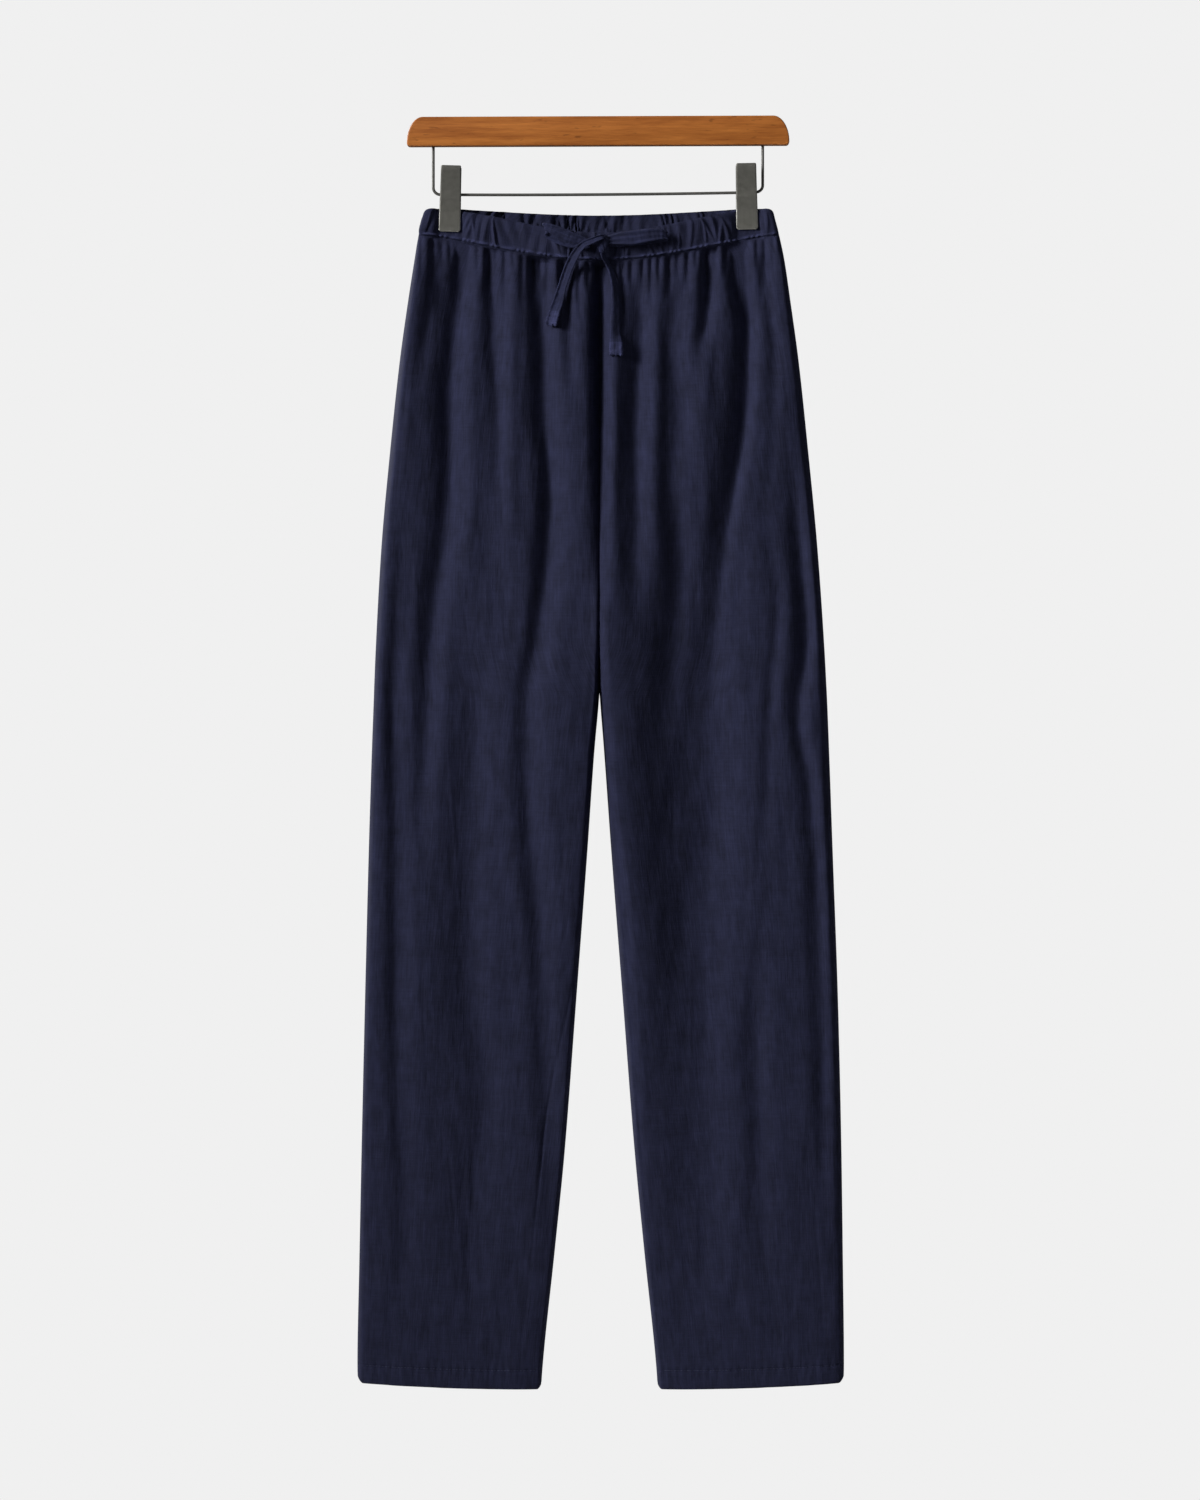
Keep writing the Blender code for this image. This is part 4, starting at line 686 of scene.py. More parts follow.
def read(table, column, drop):
    """A table's column at a drop, on a smooth curve that never leaves its rows' range."""
    drops = [row.drop for row in table]
    values = [getattr(row, column) for row in table]
    if drop <= drops[0]:
        return values[0]
    if drop >= drops[-1]:
        return values[-1]
    slopes = [(values[i + 1] - values[i]) / (drops[i + 1] - drops[i]) for i in range(len(table) - 1)]

    def tangent(row):
        if row == 0 or row == len(slopes):
            return slopes[min(row, len(slopes) - 1)]
        before, after = slopes[row - 1], slopes[row]
        return 2.0 * before * after / (before + after) if before * after > 0.0 else 0.0

    row = bisect.bisect_right(drops, drop) - 1
    span = drops[row + 1] - drops[row]
    t = (drop - drops[row]) / span
    rise = mix(values[row], values[row + 1], t * t * (3.0 - 2.0 * t))
    start_turn = tangent(row) * span * t * (1.0 - t) ** 2
    end_turn = tangent(row + 1) * span * t * t * (1.0 - t)
    return rise + start_turn - end_turn


def read_all(table, column, drops):
    """A table's column at many drops, in the shape of the drops."""
    drops = np.asarray(drops, dtype=float)
    return np.array([read(table, column, drop) for drop in drops.ravel()]).reshape(drops.shape)


def read_curve(table, column, drops):
    """A table's column at a whole grid of drops, read from a fine curve."""
    fine = np.linspace(table[0].drop, table[-1].drop, 200)
    return np.interp(drops, fine, read_all(table, column, fine))


def middle_share(x):
    """1 at the middle of the waistband, 0 at its ends."""
    return np.cos(math.pi / 2.0 * np.minimum(np.abs(x - CENTRE) / BAND_HALF_WIDTH, 1.0))


def seam_sag(face, x):
    """How far the waistband seam hangs below its ends."""
    return SAG[face].seam * middle_share(x) ** SAG_POWER


def sag_share(nominal):
    """How much of the seam's sag a row below it follows: all at the seam, none further down."""
    return 1.0 - smooth((nominal - BAND_SEAM) / SAG_RELEASE)


def hang_share(drop):
    """0 at the waistband seam, 1 where the cloth hangs free of the clips' pinch."""
    return smooth((drop - BAND_SEAM) / HIP_RELEASE)


def hem_share(nominal):
    """0 down to the hem's stitching, 1 below it."""
    return smooth((nominal - (HEM - HEM_TURN)) / HEM_TURN_RUN)


def uneven(share):
    """Move evenly spaced places a little, so that no two gathers are alike."""
    return share + wave_sum(SPACING_WAVES, share) * np.sin(math.pi * share)


def pinched_depth(face, x):
    """Depth of the waistband's inner face: pinched by the clips and bowed between them."""
    away = np.abs(x - CENTRE)
    inner = CLIP_X - CLIP_HALF_WIDTH
    outer = CLIP_X + CLIP_HALF_WIDTH
    bow = SAG[face].bow * np.clip(1.0 - (away / inner) ** 2, 0.0, 1.0) ** BOW_POWER
    side = BAND_SIDE_DEPTH * smooth((away - outer) / CLIP_RELEASE)
    return GAP / 2.0 + bow + side


def crown(side_run, trunk_run, groove):
    """Share of the full depth: least at the cloth's edges, most at its middle."""
    leg = np.clip(np.sin(math.pi * np.clip(side_run, 0.0, 1.0)), 0.0, 1.0) ** CROWN_POWER
    trunk = np.clip(np.cos(math.pi / 2.0 * np.minimum(np.abs(trunk_run), 1.0)), 0.0, 1.0) ** TRUNK_POWER
    return mix(EDGE_DEPTH, 1.0, mix(trunk, leg, groove))


def fold_relief(face, x, drop):
    """Sum of the long folds that cross each place on the front or back."""
    relief = np.zeros(np.broadcast(x, drop).shape)
    for fold in FOLDS[face]:
        route = [Place(*place) for place in fold.route]
        away = x - FOLD_SHIFT - read_curve(route, "x", drop)
        inside = (drop > route[0].drop - FOLD_LEAD) & (drop < route[-1].drop)
        strength = read_curve(route, "strength", drop) * inside
        width = np.where(away < 0.0, FOLD_LEFT_WIDER * fold.left, fold.right)
        relief += FOLD_HEIGHT * fold.height * strength * np.exp(-(away / width) ** 2)
    return relief


def back_gathers():
    """Short gathers of the hidden back, like the front's but spaced by a rule."""
    gathers = []
    for number in range(BACK_GATHER_COUNT):
        share = float(uneven((number + 0.5) / BACK_GATHER_COUNT))
        beat = 0.5 * math.sin(5.3 * number + 0.7)
        gathers.append(Gather(mix(*BACK_GATHER_SPAN, share), mix(*BACK_GATHER_DEPTH, 0.5 + beat),
                              BACK_GATHER_WIDTH, mix(*BACK_GATHER_LENGTH, 0.5 - beat)))
    return gathers


def gather_relief(face, x, below):
    """Cloth that puffs out under the seam, most where the clips flatten it, with its gathers."""
    flattened = np.exp(-(pinched_depth(face, x) / FLATTENED_DEPTH) ** 2)
    fading = np.exp(-(np.maximum(below, 0.0) / PUFF_LENGTH) ** 1.5)
    rising = mix(PUFF_AT_SEAM, 1.0, smooth(below / PUFF_ONSET))
    relief = (PUFF_HEIGHT + PUFF_AT_CLIPS * flattened) * fading * rising
    for gather in FRONT_GATHERS if face == "front" else back_gathers():
        along = np.clip(below / (GATHER_STRETCH * gather.length), 0.0, 1.0)
        depth = GATHER_DEPTH * gather.depth * (1.0 - smooth(along ** 1.5))
        spread = gather.width * (1.0 + GATHER_WIDENING * along)
        relief = relief - depth * np.exp(-np.abs((x - gather.x) / spread) ** GATHER_SHARPNESS)
    return relief


def streak_relief(name, x, drop, left, right):
    """Small pressed creases, different on every panel."""
    rng = random.Random(name)
    relief = np.zeros(np.broadcast(x, drop).shape)
    for _ in range(STREAKS):
        middle = rng.uniform(*STREAK_DROP)
        length = rng.uniform(*STREAK_LENGTH)
        place = rng.uniform(left, right)
        lean = rng.uniform(-STREAK_LEAN, STREAK_LEAN)
        width = rng.uniform(*STREAK_WIDTH)
        height = rng.choice((-1.0, 1.0)) * rng.uniform(*STREAK_HEIGHT)
        along = (drop - middle) / length
        away = (x - place - lean * (drop - middle)) / width
        relief += height * np.exp(-away * away - 4.0 * along * along)
    return relief


def ripple_relief(name, x, drop):
    """Soft unevenness, long in the drop's direction."""
    rng = random.Random(name + " ripples")
    relief = np.zeros(np.broadcast(x, drop).shape)
    for ripple in RIPPLES:
        for _ in range(RIPPLE_WAVES):
            across = 2.0 * math.pi / (ripple.width * rng.uniform(*RIPPLE_RANGE))
            down = 2.0 * math.pi / (ripple.length * rng.uniform(*RIPPLE_RANGE))
            phase = rng.uniform(0.0, 2.0 * math.pi)
            bend = rng.uniform(*RIPPLE_BEND) * np.sin(down * RIPPLE_BEND_PACE * drop + phase * 2.0)
            wave = np.sin(across * x + bend + phase) * np.sin(down * drop + phase)
            relief += ripple.height / RIPPLE_SUM * wave
    return relief


def cloth_depth(face, x, nominal):
    """Depth of the cloth's outer face without its folds, away from its edges."""
    on_left = x < CENTRE
    edge_x = np.where(on_left, read_curve(OUTLINE, "left", nominal), read_curve(OUTLINE, "right", nominal))
    inner_x = np.where(on_left, read_curve(OUTLINE, "inseam_left", nominal),
                       read_curve(OUTLINE, "inseam_right", nominal))
    leg_run = (x - edge_x) / (inner_x - edge_x)
    trunk_run = (x - CENTRE) / (edge_x - CENTRE)
    share = crown(leg_run, trunk_run, read_curve(BODY, "groove", nominal))
    hung = read_curve(BODY, face, nominal) * share
    return mix(pinched_depth(face, x) + CLOTH, hung, hang_share(nominal))


def folded_depth(face, x, nominal, drop, fine):
    """Depth of the cloth's outer face with its folds, and with its gathers where fine."""
    below = nominal - BAND_SEAM
    grow = mix(SEAM_RELIEF, 1.0, smooth(below / SEAM_GROW)) * smooth(below / SEAM_LEDGE)
    relief = bpy.context.scene.trouser_cloth.fold_depth * fold_relief(face, x, drop)
    if fine:
        relief = relief + gather_relief(face, x, below)
    return cloth_depth(face, x, nominal) + relief * grow


def panel_steps(count):
    """Steps across: 0 to 1 round the first edge, 1 to 2 over the face, 2 to 3 round the other edge."""
    edge = np.arange(EDGE_STEPS) / EDGE_STEPS
    face = 1.0 + np.arange(count + 1) / count
    return np.concatenate((edge, face, 3.0 - edge[::-1]))


def panel_rows():
    """Nominal drops of a panel's rows, close together at the gathers and the hem."""
    top = BAND_SEAM - SEAM_OVERLAP + np.array(SEAM_ROWS)
    near = np.concatenate((top[:-1], np.arange(top[-1], top[-1] + NEAR_REACH, NEAR_STEP)))
    broad = np.arange(near[-1] + BROAD_STEP, HEM - HEM_TURN - HEM_ROWS_ABOVE, BROAD_STEP)
    hem = np.arange(broad[-1] + HEM_STEP, HEM - 0.4 * HEM_STEP, HEM_STEP)
    return np.concatenate((near, broad, hem, (HEM,)))


def places_across(step, start, end, start_round, end_round):
    """Places across cloth with rounded edges, with the share of its face and the turns of both edges."""
    share = np.clip(step - 1.0, 0.0, 1.0)
    start_turn = np.minimum(step, 1.0) * math.pi / 2.0
    end_turn = np.minimum(3.0 - step, 1.0) * math.pi / 2.0
    place = mix(start + start_round, end - end_round, uneven(share))
    place = place - np.where(step < 1.0, start_round * np.cos(start_turn), 0.0)
    place = place + np.where(step > 2.0, end_round * np.cos(end_turn), 0.0)
    return place, share, start_turn, end_turn


def thinned(values):
    """Every third value, with the last."""
    return np.append(values[:-1:INNER_SKIP], values[-1])


def seam_line(run, nominal, allowance):
    """Shallow line where the seam allowance inside the leg ends, near a panel's long edge."""
    uneven_line = 0.6 + 0.4 * np.sin(31.0 * nominal + 1.0) * np.sin(12.0 * nominal)
    away = (run - allowance) / SEAM_LINE_WIDTH
    growing = smooth((nominal - SEAM_LINE_TOP) / SEAM_LINE_FADE)
    return SEAM_LINE_DEPTH * uneven_line * growing * np.exp(-away * away)


def inseam_line(name, run, nominal):
    """The inseam's line, which comes round to the front and then fades on the left leg."""
    turned = SEAM_ALLOWANCE
    depth = 1.0 - INSEAM_FADE * smooth((nominal - INSEAM_FADE_TOP) / INSEAM_FADE_RUN)
    if name == "front_left":
        turned = mix(INSEAM_UNTURNED, INSEAM_TURNED, smooth((nominal - INSEAM_TURN_TOP) / INSEAM_TURN_RUN))
        depth = INSEAM_TURNED_DEPTH * depth
    return depth * seam_line(run, nominal, turned)


def hem_marks(x, nominal):
    """The hem's sunk stitched line with its small puckers, and its turned lower edge."""
    above = nominal - (HEM - HEM_TURN)
    line = HEM_LINE_DEPTH * np.exp(-(above / HEM_LINE_WIDTH) ** 2)
    near_line = np.exp(-(above / HEM_PUCKER_REACH) ** 2)
    puckers = HEM_PUCKER_DEPTH * near_line * np.sin(2.0 * math.pi * x / HEM_PUCKER_PITCH)
    return puckers - line - HEM_EDGE_TURN * smooth(1.0 - (HEM - nominal) / HEM_EDGE_REACH)


def hem_raised(share, edge_turn, inner_turn, nominal):
    """How far a place on the hem is lifted: more towards the side seam, and round its corners."""
    lift = HEM_LIFT_ACROSS * (1.0 - share) ** 2 + HEM_LIFT_AT_SEAM * np.cos(edge_turn) ** 2
    corner = np.cos(edge_turn) ** 2 + np.cos(inner_turn) ** 2
    above = nominal - HEM
    return (HEM_LIFT * lift * smooth(above / HEM_LIFT_REACH + 1.0)
            + HEM_CORNER_ROUND * corner * smooth(above / HEM_CORNER_REACH + 1.0))


def panel_grid(side, face, steps, rows, fine):
    """Outer-face points of a leg panel, one line of the grid for each row."""
    nominal = rows[:, None]
    step = steps[None, :]
    inward = 1.0 if side == "left" else -1.0
    edge_x = read_all(OUTLINE, side, nominal)
    inner_x = read_all(OUTLINE, "inseam_" + side, nominal) - inward * MEET
    width = np.abs(inner_x - edge_x)
    edge_run = read_all(BODY, "edge", nominal)
    inner_run = read_all(BODY, "inner", nominal)
    groove = read_all(BODY, "groove", nominal)
    run, share, edge_turn, inner_turn = places_across(step, 0.0, width, edge_run, inner_run)
    x = edge_x + inward * run
    drop = nominal + seam_sag(face, x) * sag_share(nominal)
    depth = folded_depth(face, x, nominal, drop, fine)
    if fine:
        name = face + "_" + side
        left, right = sorted((edge_x[-1, 0], inner_x[0, 0]))
        loose = smooth((nominal - BAND_SEAM) / MARKS_ONSET)
        depth = depth - seam_line(run, nominal, SEAM_ALLOWANCE) - inseam_line(name, width - run, nominal)
        depth = depth + loose * (streak_relief(name, x, drop, left, right) + ripple_relief(name, x, drop))
        depth = depth + hem_marks(x, nominal)
    depth = depth + HEM_EXTRA * hem_share(nominal)
    floor = GAP + (CLOTH if fine else INNER_FLOOR * CLOTH)
    depth = 0.5 * (depth + floor + np.sqrt((depth - floor) ** 2 + SOFT_FLOOR ** 2))
    tuck = SEAM_TUCK * (1.0 - np.sin(inner_turn)) * (1.0 - groove)
    depth = (depth - tuck) * np.sin(edge_turn) * mix(1.0, np.sin(inner_turn), groove)
    drop = drop - hem_raised(share, edge_turn, inner_turn, nominal)
    depth = np.maximum(depth, LEAST_DEPTH)
    return np.stack((x, SAG[face].side * depth, -drop), axis=-1)


def inward_normals(grid, flip, start, end):
    """Unit normals in the XY plane that point into the cloth's hollow, with each row's ends given."""
    normals = np.zeros_like(grid)
    along = grid[:, 2:] - grid[:, :-2]
    normals[:, 1:-1, 0] = -flip * along[..., 1]
    normals[:, 1:-1, 1] = flip * along[..., 0]
    normals[:, 0] = start
    normals[:, -1] = end
    lengths = np.linalg.norm(normals, axis=-1, keepdims=True)
    return normals / np.maximum(lengths, 1e-9)


def step_in(grid, normals, thickness, way):
    """A grid moved in by the cloth's thickness, kept on its own side of the middle plane."""
    moved = grid + thickness * normals
    moved[..., 1] = way * np.maximum(way * moved[..., 1], LEAST_DEPTH)
    return moved


def cut_places(grid, rows):
    """Where each point of a grid lies on the flat cloth, as run across and drop."""
    steps = np.linalg.norm(np.diff(grid, axis=1), axis=-1)
    run = np.concatenate((np.zeros((len(grid), 1)), np.cumsum(steps, axis=1)), axis=1)
    run = run / run[:, -1:] * run[:, -1].mean()
    flat = np.zeros_like(grid)
    flat[..., 0] = run
    flat[..., 1] = np.asarray(rows)[:, None]
    return flat


def join_strips(first, second):
    """Faces between two chains of point numbers, which may differ in length."""
    faces = []
    i = 0
    j = 0
    while i < len(first) - 1 or j < len(second) - 1:
        next_i = (i + 1) / (len(first) - 1)
        next_j = (j + 1) / (len(second) - 1)
        if j == len(second) - 1 or (i < len(first) - 1 and next_i <= next_j):
            faces.append((first[i], second[j], first[i + 1]))
            i += 1
        else:
            faces.append((first[i], second[j], second[j + 1]))
            j += 1
    return faces


def shell(name, outer, inner, outer_rows, inner_rows, material, rubbed=None):
    """Closed sheet of cloth between two grids of points, with where its outer face gets a painted highlight.
    """
    points = np.concatenate((outer.reshape(-1, 3), inner.reshape(-1, 3)))
    count = outer[..., 0].size
    numbers = (np.arange(count).reshape(outer.shape[:2]),
               np.arange(count, len(points)).reshape(inner.shape[:2]))
    faces = []
    for grid in numbers:
        corners = (grid[:-1, :-1], grid[1:, :-1], grid[1:, 1:], grid[:-1, 1:])
        faces += np.stack(corners, axis=-1).reshape(-1, 4).tolist()
    for end in (0, -1):
        faces += join_strips(numbers[0][end].tolist(), numbers[1][end].tolist())
        faces += join_strips(numbers[0][:, end].tolist(), numbers[1][:, end].tolist())
    flat = np.concatenate((cut_places(outer, outer_rows).reshape(-1, 3),
                           cut_places(inner, inner_rows).reshape(-1, 3)))
    cloth = add_mesh(name, points.tolist(), faces, material, flat)
    if rubbed is not None:
        welt_highlight_layer = cloth.data.attributes.new("rubbed", "FLOAT", "POINT")
        welt_highlight_layer.data.foreach_set("value", np.append(rubbed, np.zeros(inner[..., 0].size)))
    return cloth


def ring_faces(rings, count, first=0):
    """Faces between rings that have the same count of points, from a first point's number."""
    faces = []
    for base in range(first, first + (rings - 1) * count, count):
        for side in range(count):
            following = (side + 1) % count
            faces.append((base + side, base + following, base + count + following, base + count + side))
    return faces


def add_mesh(name, points, faces, material, flat=None, smooth_angle=50.0):
    """Named, smooth-shaded mesh with outward faces, its material and its places on the flat cloth."""
    data = bpy.data.meshes.new(name)
    data.from_pydata(points, [], faces)
    if flat is not None:
        cut = data.attributes.new("cut", "FLOAT_VECTOR", "POINT")
        cut.data.foreach_set("vector", np.asarray(flat, dtype=np.float32).ravel())
    mesh = bmesh.new()
    mesh.from_mesh(data)
    bmesh.ops.recalc_face_normals(mesh, faces=mesh.faces)
    mesh.to_mesh(data)
    mesh.free()
    data.shade_smooth()
    data.set_sharp_from_angle(angle=math.radians(smooth_angle))
    data.materials.append(material)
    thing = bpy.data.objects.new(name, data)
    bpy.context.scene.collection.objects.link(thing)
    return thing


def seat(thing, slot_name, *nodes):
    """Make a piece ride on the part's one body, in place of its nodes; the slot's name is not used."""
    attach(thing, "root")
    if nodes:
        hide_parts(*nodes)
    return thing


def linear(code):
    """Linear RGBA of an sRGB hex colour."""
    channels = [int(code[start:start + 2], 16) / 255.0 for start in (1, 3, 5)]
    return tuple(c / 12.92 if c <= 0.04045 else ((c + 0.055) / 1.055) ** 2.4 for c in channels) + (1.0,)


def scaled(colour, factor):
    """A linear RGBA colour made lighter or darker."""
    return tuple(factor * channel for channel in colour[:3]) + (1.0,)


def add_node(tree, kind, settings=None, links=None):
    """Add a node, set its sockets or its own values, and link sockets into it."""
    node = tree.nodes.new(kind)
    for name, value in (settings or {}).items():
        if isinstance(name, int) or name in node.inputs:
            node.inputs[name].default_value = value
        else:
            setattr(node, name, value)
    for name, socket in (links or {}).items():
        tree.links.new(socket, node.inputs[name])
    return node


def new_material(name):
    """Empty node material with its output, and the shader linked to it."""
    material = bpy.data.materials.new(name)
    material.use_nodes = True
    tree = material.node_tree
    tree.nodes.clear()
    shader = add_node(tree, "ShaderNodeBsdfPrincipled")
    add_node(tree, "ShaderNodeOutputMaterial", links={"Surface": shader.outputs["BSDF"]})
    return material, tree, shader


def linen_material(name, light, shade, pitch):
    """Plain-woven, piece-dyed linen.

    Matt, with fine uneven threads: long slubs run down the warp and shorter ones across the
    weft, and the dye takes a little unevenly. The real threads are 0.6 mm apart and are drawn
    coarser so that they show. Where the point attribute from the waistband says so, along the
    seam's welt, a painted highlight makes the cloth paler.
    """
    material, tree, shader = new_material(name)
    shader.inputs["Roughness"].default_value = 0.88
    shader.inputs["Specular IOR Level"].default_value = 0.22
    shader.inputs["Sheen Weight"].default_value = 0.06
    shader.inputs["Sheen Roughness"].default_value = 0.55
    shader.inputs["Sheen Tint"].default_value = linear(SHEEN_TINT)
    cut = add_node(tree, "ShaderNodeAttribute", {"attribute_name": "cut"}).outputs["Vector"]
    noises = {}
    for part, across, along, detail in (("warp", pitch, 0.034, 3.0), ("weft", 0.022, pitch, 2.0),
                                        ("slub", 1.6 * pitch, 0.016, 1.0), ("streak", 0.0048, 0.046, 3.0),
                                        ("dye", 0.011, 0.020, 4.0)):
        place = add_node(tree, "ShaderNodeMapping", {"Scale": (1.0 / across, 1.0 / along, 1.0)},
                         {"Vector": cut})
        noise = add_node(tree, "ShaderNodeTexNoise", {"Scale": 1.0, "Detail": detail, "Roughness": 0.6},
                         {"Vector": place.outputs["Vector"]})
        noises[part] = noise.outputs["Fac"]
    threads = add_node(tree, "ShaderNodeMath", {"operation": "MULTIPLY_ADD", 1: 0.55},
                       {0: noises["weft"], 2: noises["warp"]})
    streaked = add_node(tree, "ShaderNodeMath", {"operation": "MULTIPLY_ADD", 1: 0.32},
                        {0: noises["streak"], 2: threads.outputs[0]})
    cloud = add_node(tree, "ShaderNodeMath", {"operation": "MULTIPLY_ADD", 1: 1.10},
                     {0: noises["dye"], 2: streaked.outputs[0]})
    tone = add_node(tree, "ShaderNodeMapRange", {"From Min": 1.12, "From Max": 1.86},
                    {"Value": cloud.outputs[0]})
    colour = add_node(tree, "ShaderNodeMix", {"data_type": "RGBA", 6: linear(shade), 7: linear(light)},
                      {0: tone.outputs["Result"]})
    # Painted highlight: the linen is made paler along the waistband's welt, where its ridge would catch the
    # light
    rubbed = add_node(tree, "ShaderNodeAttribute", {"attribute_name": "rubbed"}).outputs["Fac"]
    highlight_colour = scaled(linear(light), WELT_HIGHLIGHT_PALER)
    paler_tint = add_node(tree, "ShaderNodeMix", {"data_type": "RGBA", 7: highlight_colour},
                    {0: rubbed, 6: colour.outputs[2]})
    tree.links.new(paler_tint.outputs[2], shader.inputs["Base Color"])
    slubs = add_node(tree, "ShaderNodeMapRange", {"From Min": 0.60, "From Max": 0.78},
                     {"Value": noises["slub"]})
    height = add_node(tree, "ShaderNodeMath", {"operation": "MULTIPLY_ADD", 1: 0.35},
                      {0: slubs.outputs["Result"], 2: threads.outputs[0]})
    bump = add_node(tree, "ShaderNodeBump", {"Strength": 0.45, "Distance": 0.0007},
                    {"Height": height.outputs[0]})
    tree.links.new(bump.outputs["Normal"], shader.inputs["Normal"])
    return material


def thread_material(name, colour):
    """Twisted polyester sewing thread: a little smoother and brighter than the linen."""
    material, tree, shader = new_material(name)
    shader.inputs["Roughness"].default_value = 0.6
    place = add_node(tree, "ShaderNodeTexCoord").outputs["Object"]
    twist = add_node(tree, "ShaderNodeTexNoise", {"Scale": 900.0, "Detail": 1.0}, {"Vector": place})
    tint = add_node(tree, "ShaderNodeMix", {"data_type": "RGBA", 6: linear(colour), 7: linear(THREAD_SHADE)},
                    {0: twist.outputs["Fac"]})
    tree.links.new(tint.outputs[2], shader.inputs["Base Color"])
    return material


def wood_material(name, light, grain):
    """Satin-lacquered wood, sawn along the grain.

    Fine pores run the length of the bar with broader darker bands between them and a few short
    dark flecks; the lacquer gives a soft even gloss.
    """
    material, tree, shader = new_material(name)
    shader.inputs["Roughness"].default_value = 0.42
    shader.inputs["Coat Weight"].default_value = 0.25
    shader.inputs["Coat Roughness"].default_value = 0.30
    place = add_node(tree, "ShaderNodeTexCoord").outputs["Object"]
    noises = {}
    for part, along, across, detail in (("band", 0.090, 0.0070, 3.0), ("pore", 0.012, 0.0006, 2.0),
                                        ("fleck", 0.0110, 0.0028, 1.5), ("cloud", 0.040, 0.0160, 2.0)):
        spot = add_node(tree, "ShaderNodeMapping", {"Scale": (1.0 / along, 1.0 / across, 1.0 / across)},
                        {"Vector": place})
        noise = add_node(tree, "ShaderNodeTexNoise", {"Scale": 1.0, "Detail": detail, "Roughness": 0.6},
                         {"Vector": spot.outputs["Vector"]})
        noises[part] = noise.outputs["Fac"]
    blend = add_node(tree, "ShaderNodeMath", {"operation": "MULTIPLY_ADD", 1: 0.35},
                     {0: noises["pore"], 2: noises["band"]})
    tone = add_node(tree, "ShaderNodeMapRange", {"From Min": 0.52, "From Max": 0.86},
                    {"Value": blend.outputs[0]})
    colour = add_node(tree, "ShaderNodeMix", {"data_type": "RGBA", 6: linear(grain), 7: linear(light)},
                      {0: tone.outputs["Result"]})
    fleck = add_node(tree, "ShaderNodeMapRange", {"From Min": 0.66, "From Max": 0.76, "To Max": 0.55},
                     {"Value": noises["fleck"]})
    flecked = add_node(tree, "ShaderNodeMix", {"data_type": "RGBA", 7: linear(WOOD_FLECK)},
                       {0: fleck.outputs["Result"], 6: colour.outputs[2]})
    tree.links.new(flecked.outputs[2], shader.inputs["Base Color"])
    bump = add_node(tree, "ShaderNodeBump", {"Strength": 0.15, "Distance": 0.0003},
                    {"Height": noises["pore"]})
    tree.links.new(bump.outputs["Normal"], shader.inputs["Normal"])
    return material


def steel_material(name, colour):
    """Drawn steel wire with a satin nickel finish: fine lengthwise scratches soften its shine."""
    material, tree, shader = new_material(name)
    shader.inputs["Metallic"].default_value = 0.35
    place = add_node(tree, "ShaderNodeTexCoord").outputs["Object"]
    spot = add_node(tree, "ShaderNodeMapping", {"Scale": (260.0, 2500.0, 1400.0)}, {"Vector": place})
    draw = add_node(tree, "ShaderNodeTexNoise", {"Scale": 1.0, "Detail": 2.0},
                    {"Vector": spot.outputs["Vector"]})
    rough = add_node(tree, "ShaderNodeMapRange", {"To Min": 0.30, "To Max": 0.52},
                     {"Value": draw.outputs["Fac"]})
    tree.links.new(rough.outputs["Result"], shader.inputs["Roughness"])
    tint = add_node(tree, "ShaderNodeMix", {"data_type": "RGBA", 6: linear(STEEL_SHADE), 7: linear(colour)},
                    {0: draw.outputs["Fac"]})
    tree.links.new(tint.outputs[2], shader.inputs["Base Color"])
    return material


def plate_material(name, colour, metallic):
    """Pressed sheet steel under a satin grey coating: faint vertical rolling marks and small scuffs."""
    material, tree, shader = new_material(name)
    shader.inputs["Metallic"].default_value = metallic
    place = add_node(tree, "ShaderNodeTexCoord").outputs["Object"]
    roll = add_node(tree, "ShaderNodeMapping", {"Scale": (1800.0, 1800.0, 90.0)}, {"Vector": place})
    marks = add_node(tree, "ShaderNodeTexNoise", {"Scale": 1.0, "Detail": 3.0},
                     {"Vector": roll.outputs["Vector"]})
    scuff = add_node(tree, "ShaderNodeTexNoise", {"Scale": 260.0, "Detail": 4.0}, {"Vector": place})
    blend = add_node(tree, "ShaderNodeMath", {"operation": "MULTIPLY_ADD", 1: 0.5},
                     {0: marks.outputs["Fac"], 2: scuff.outputs["Fac"]})
    tone = add_node(tree, "ShaderNodeMapRange", {"From Min": 0.5, "From Max": 1.0},
                    {"Value": blend.outputs[0]})
    darker = scaled(linear(colour), COATING_SHADE)
    tint = add_node(tree, "ShaderNodeMix", {"data_type": "RGBA", 6: darker, 7: linear(colour)},
                    {0: tone.outputs["Result"]})
    tree.links.new(tint.outputs[2], shader.inputs["Base Color"])
    rough = add_node(tree, "ShaderNodeMapRange",
                     {"From Min": 0.5, "From Max": 1.0, "To Min": 0.42, "To Max": 0.6},
                     {"Value": blend.outputs[0]})
    tree.links.new(rough.outputs["Result"], shader.inputs["Roughness"])
    return material


def shared_material(name, maker, *values):
    """The material of that name, made the first time it is asked for."""
    found = bpy.data.materials.get(name)
    return found or maker(name, *values)


def linen():
    """The trousers' linen."""
    cloth = bpy.context.scene.trouser_cloth
    return shared_material("plain_woven_linen", linen_material, cloth.linen, cloth.linen_shade, cloth.weave)


def tape_linen():
    """The drawstring's linen, cut on the same cloth and pressed."""
    cloth = bpy.context.scene.trouser_cloth
    return shared_material("folded_linen_tape", linen_material, cloth.tape, cloth.tape_shade,
                           0.8 * cloth.weave)


def worn_linen():
    """The turned and rubbed ends of the drawstring, a little lighter."""
    cloth = bpy.context.scene.trouser_cloth
    return shared_material("rubbed_linen_tape_end", linen_material, cloth.tape_end, cloth.tape_shade,
                           0.8 * cloth.weave)


def thread():
    """The sewing thread."""
    return shared_material("twisted_sewing_thread", thread_material, bpy.context.scene.trouser_cloth.thread)


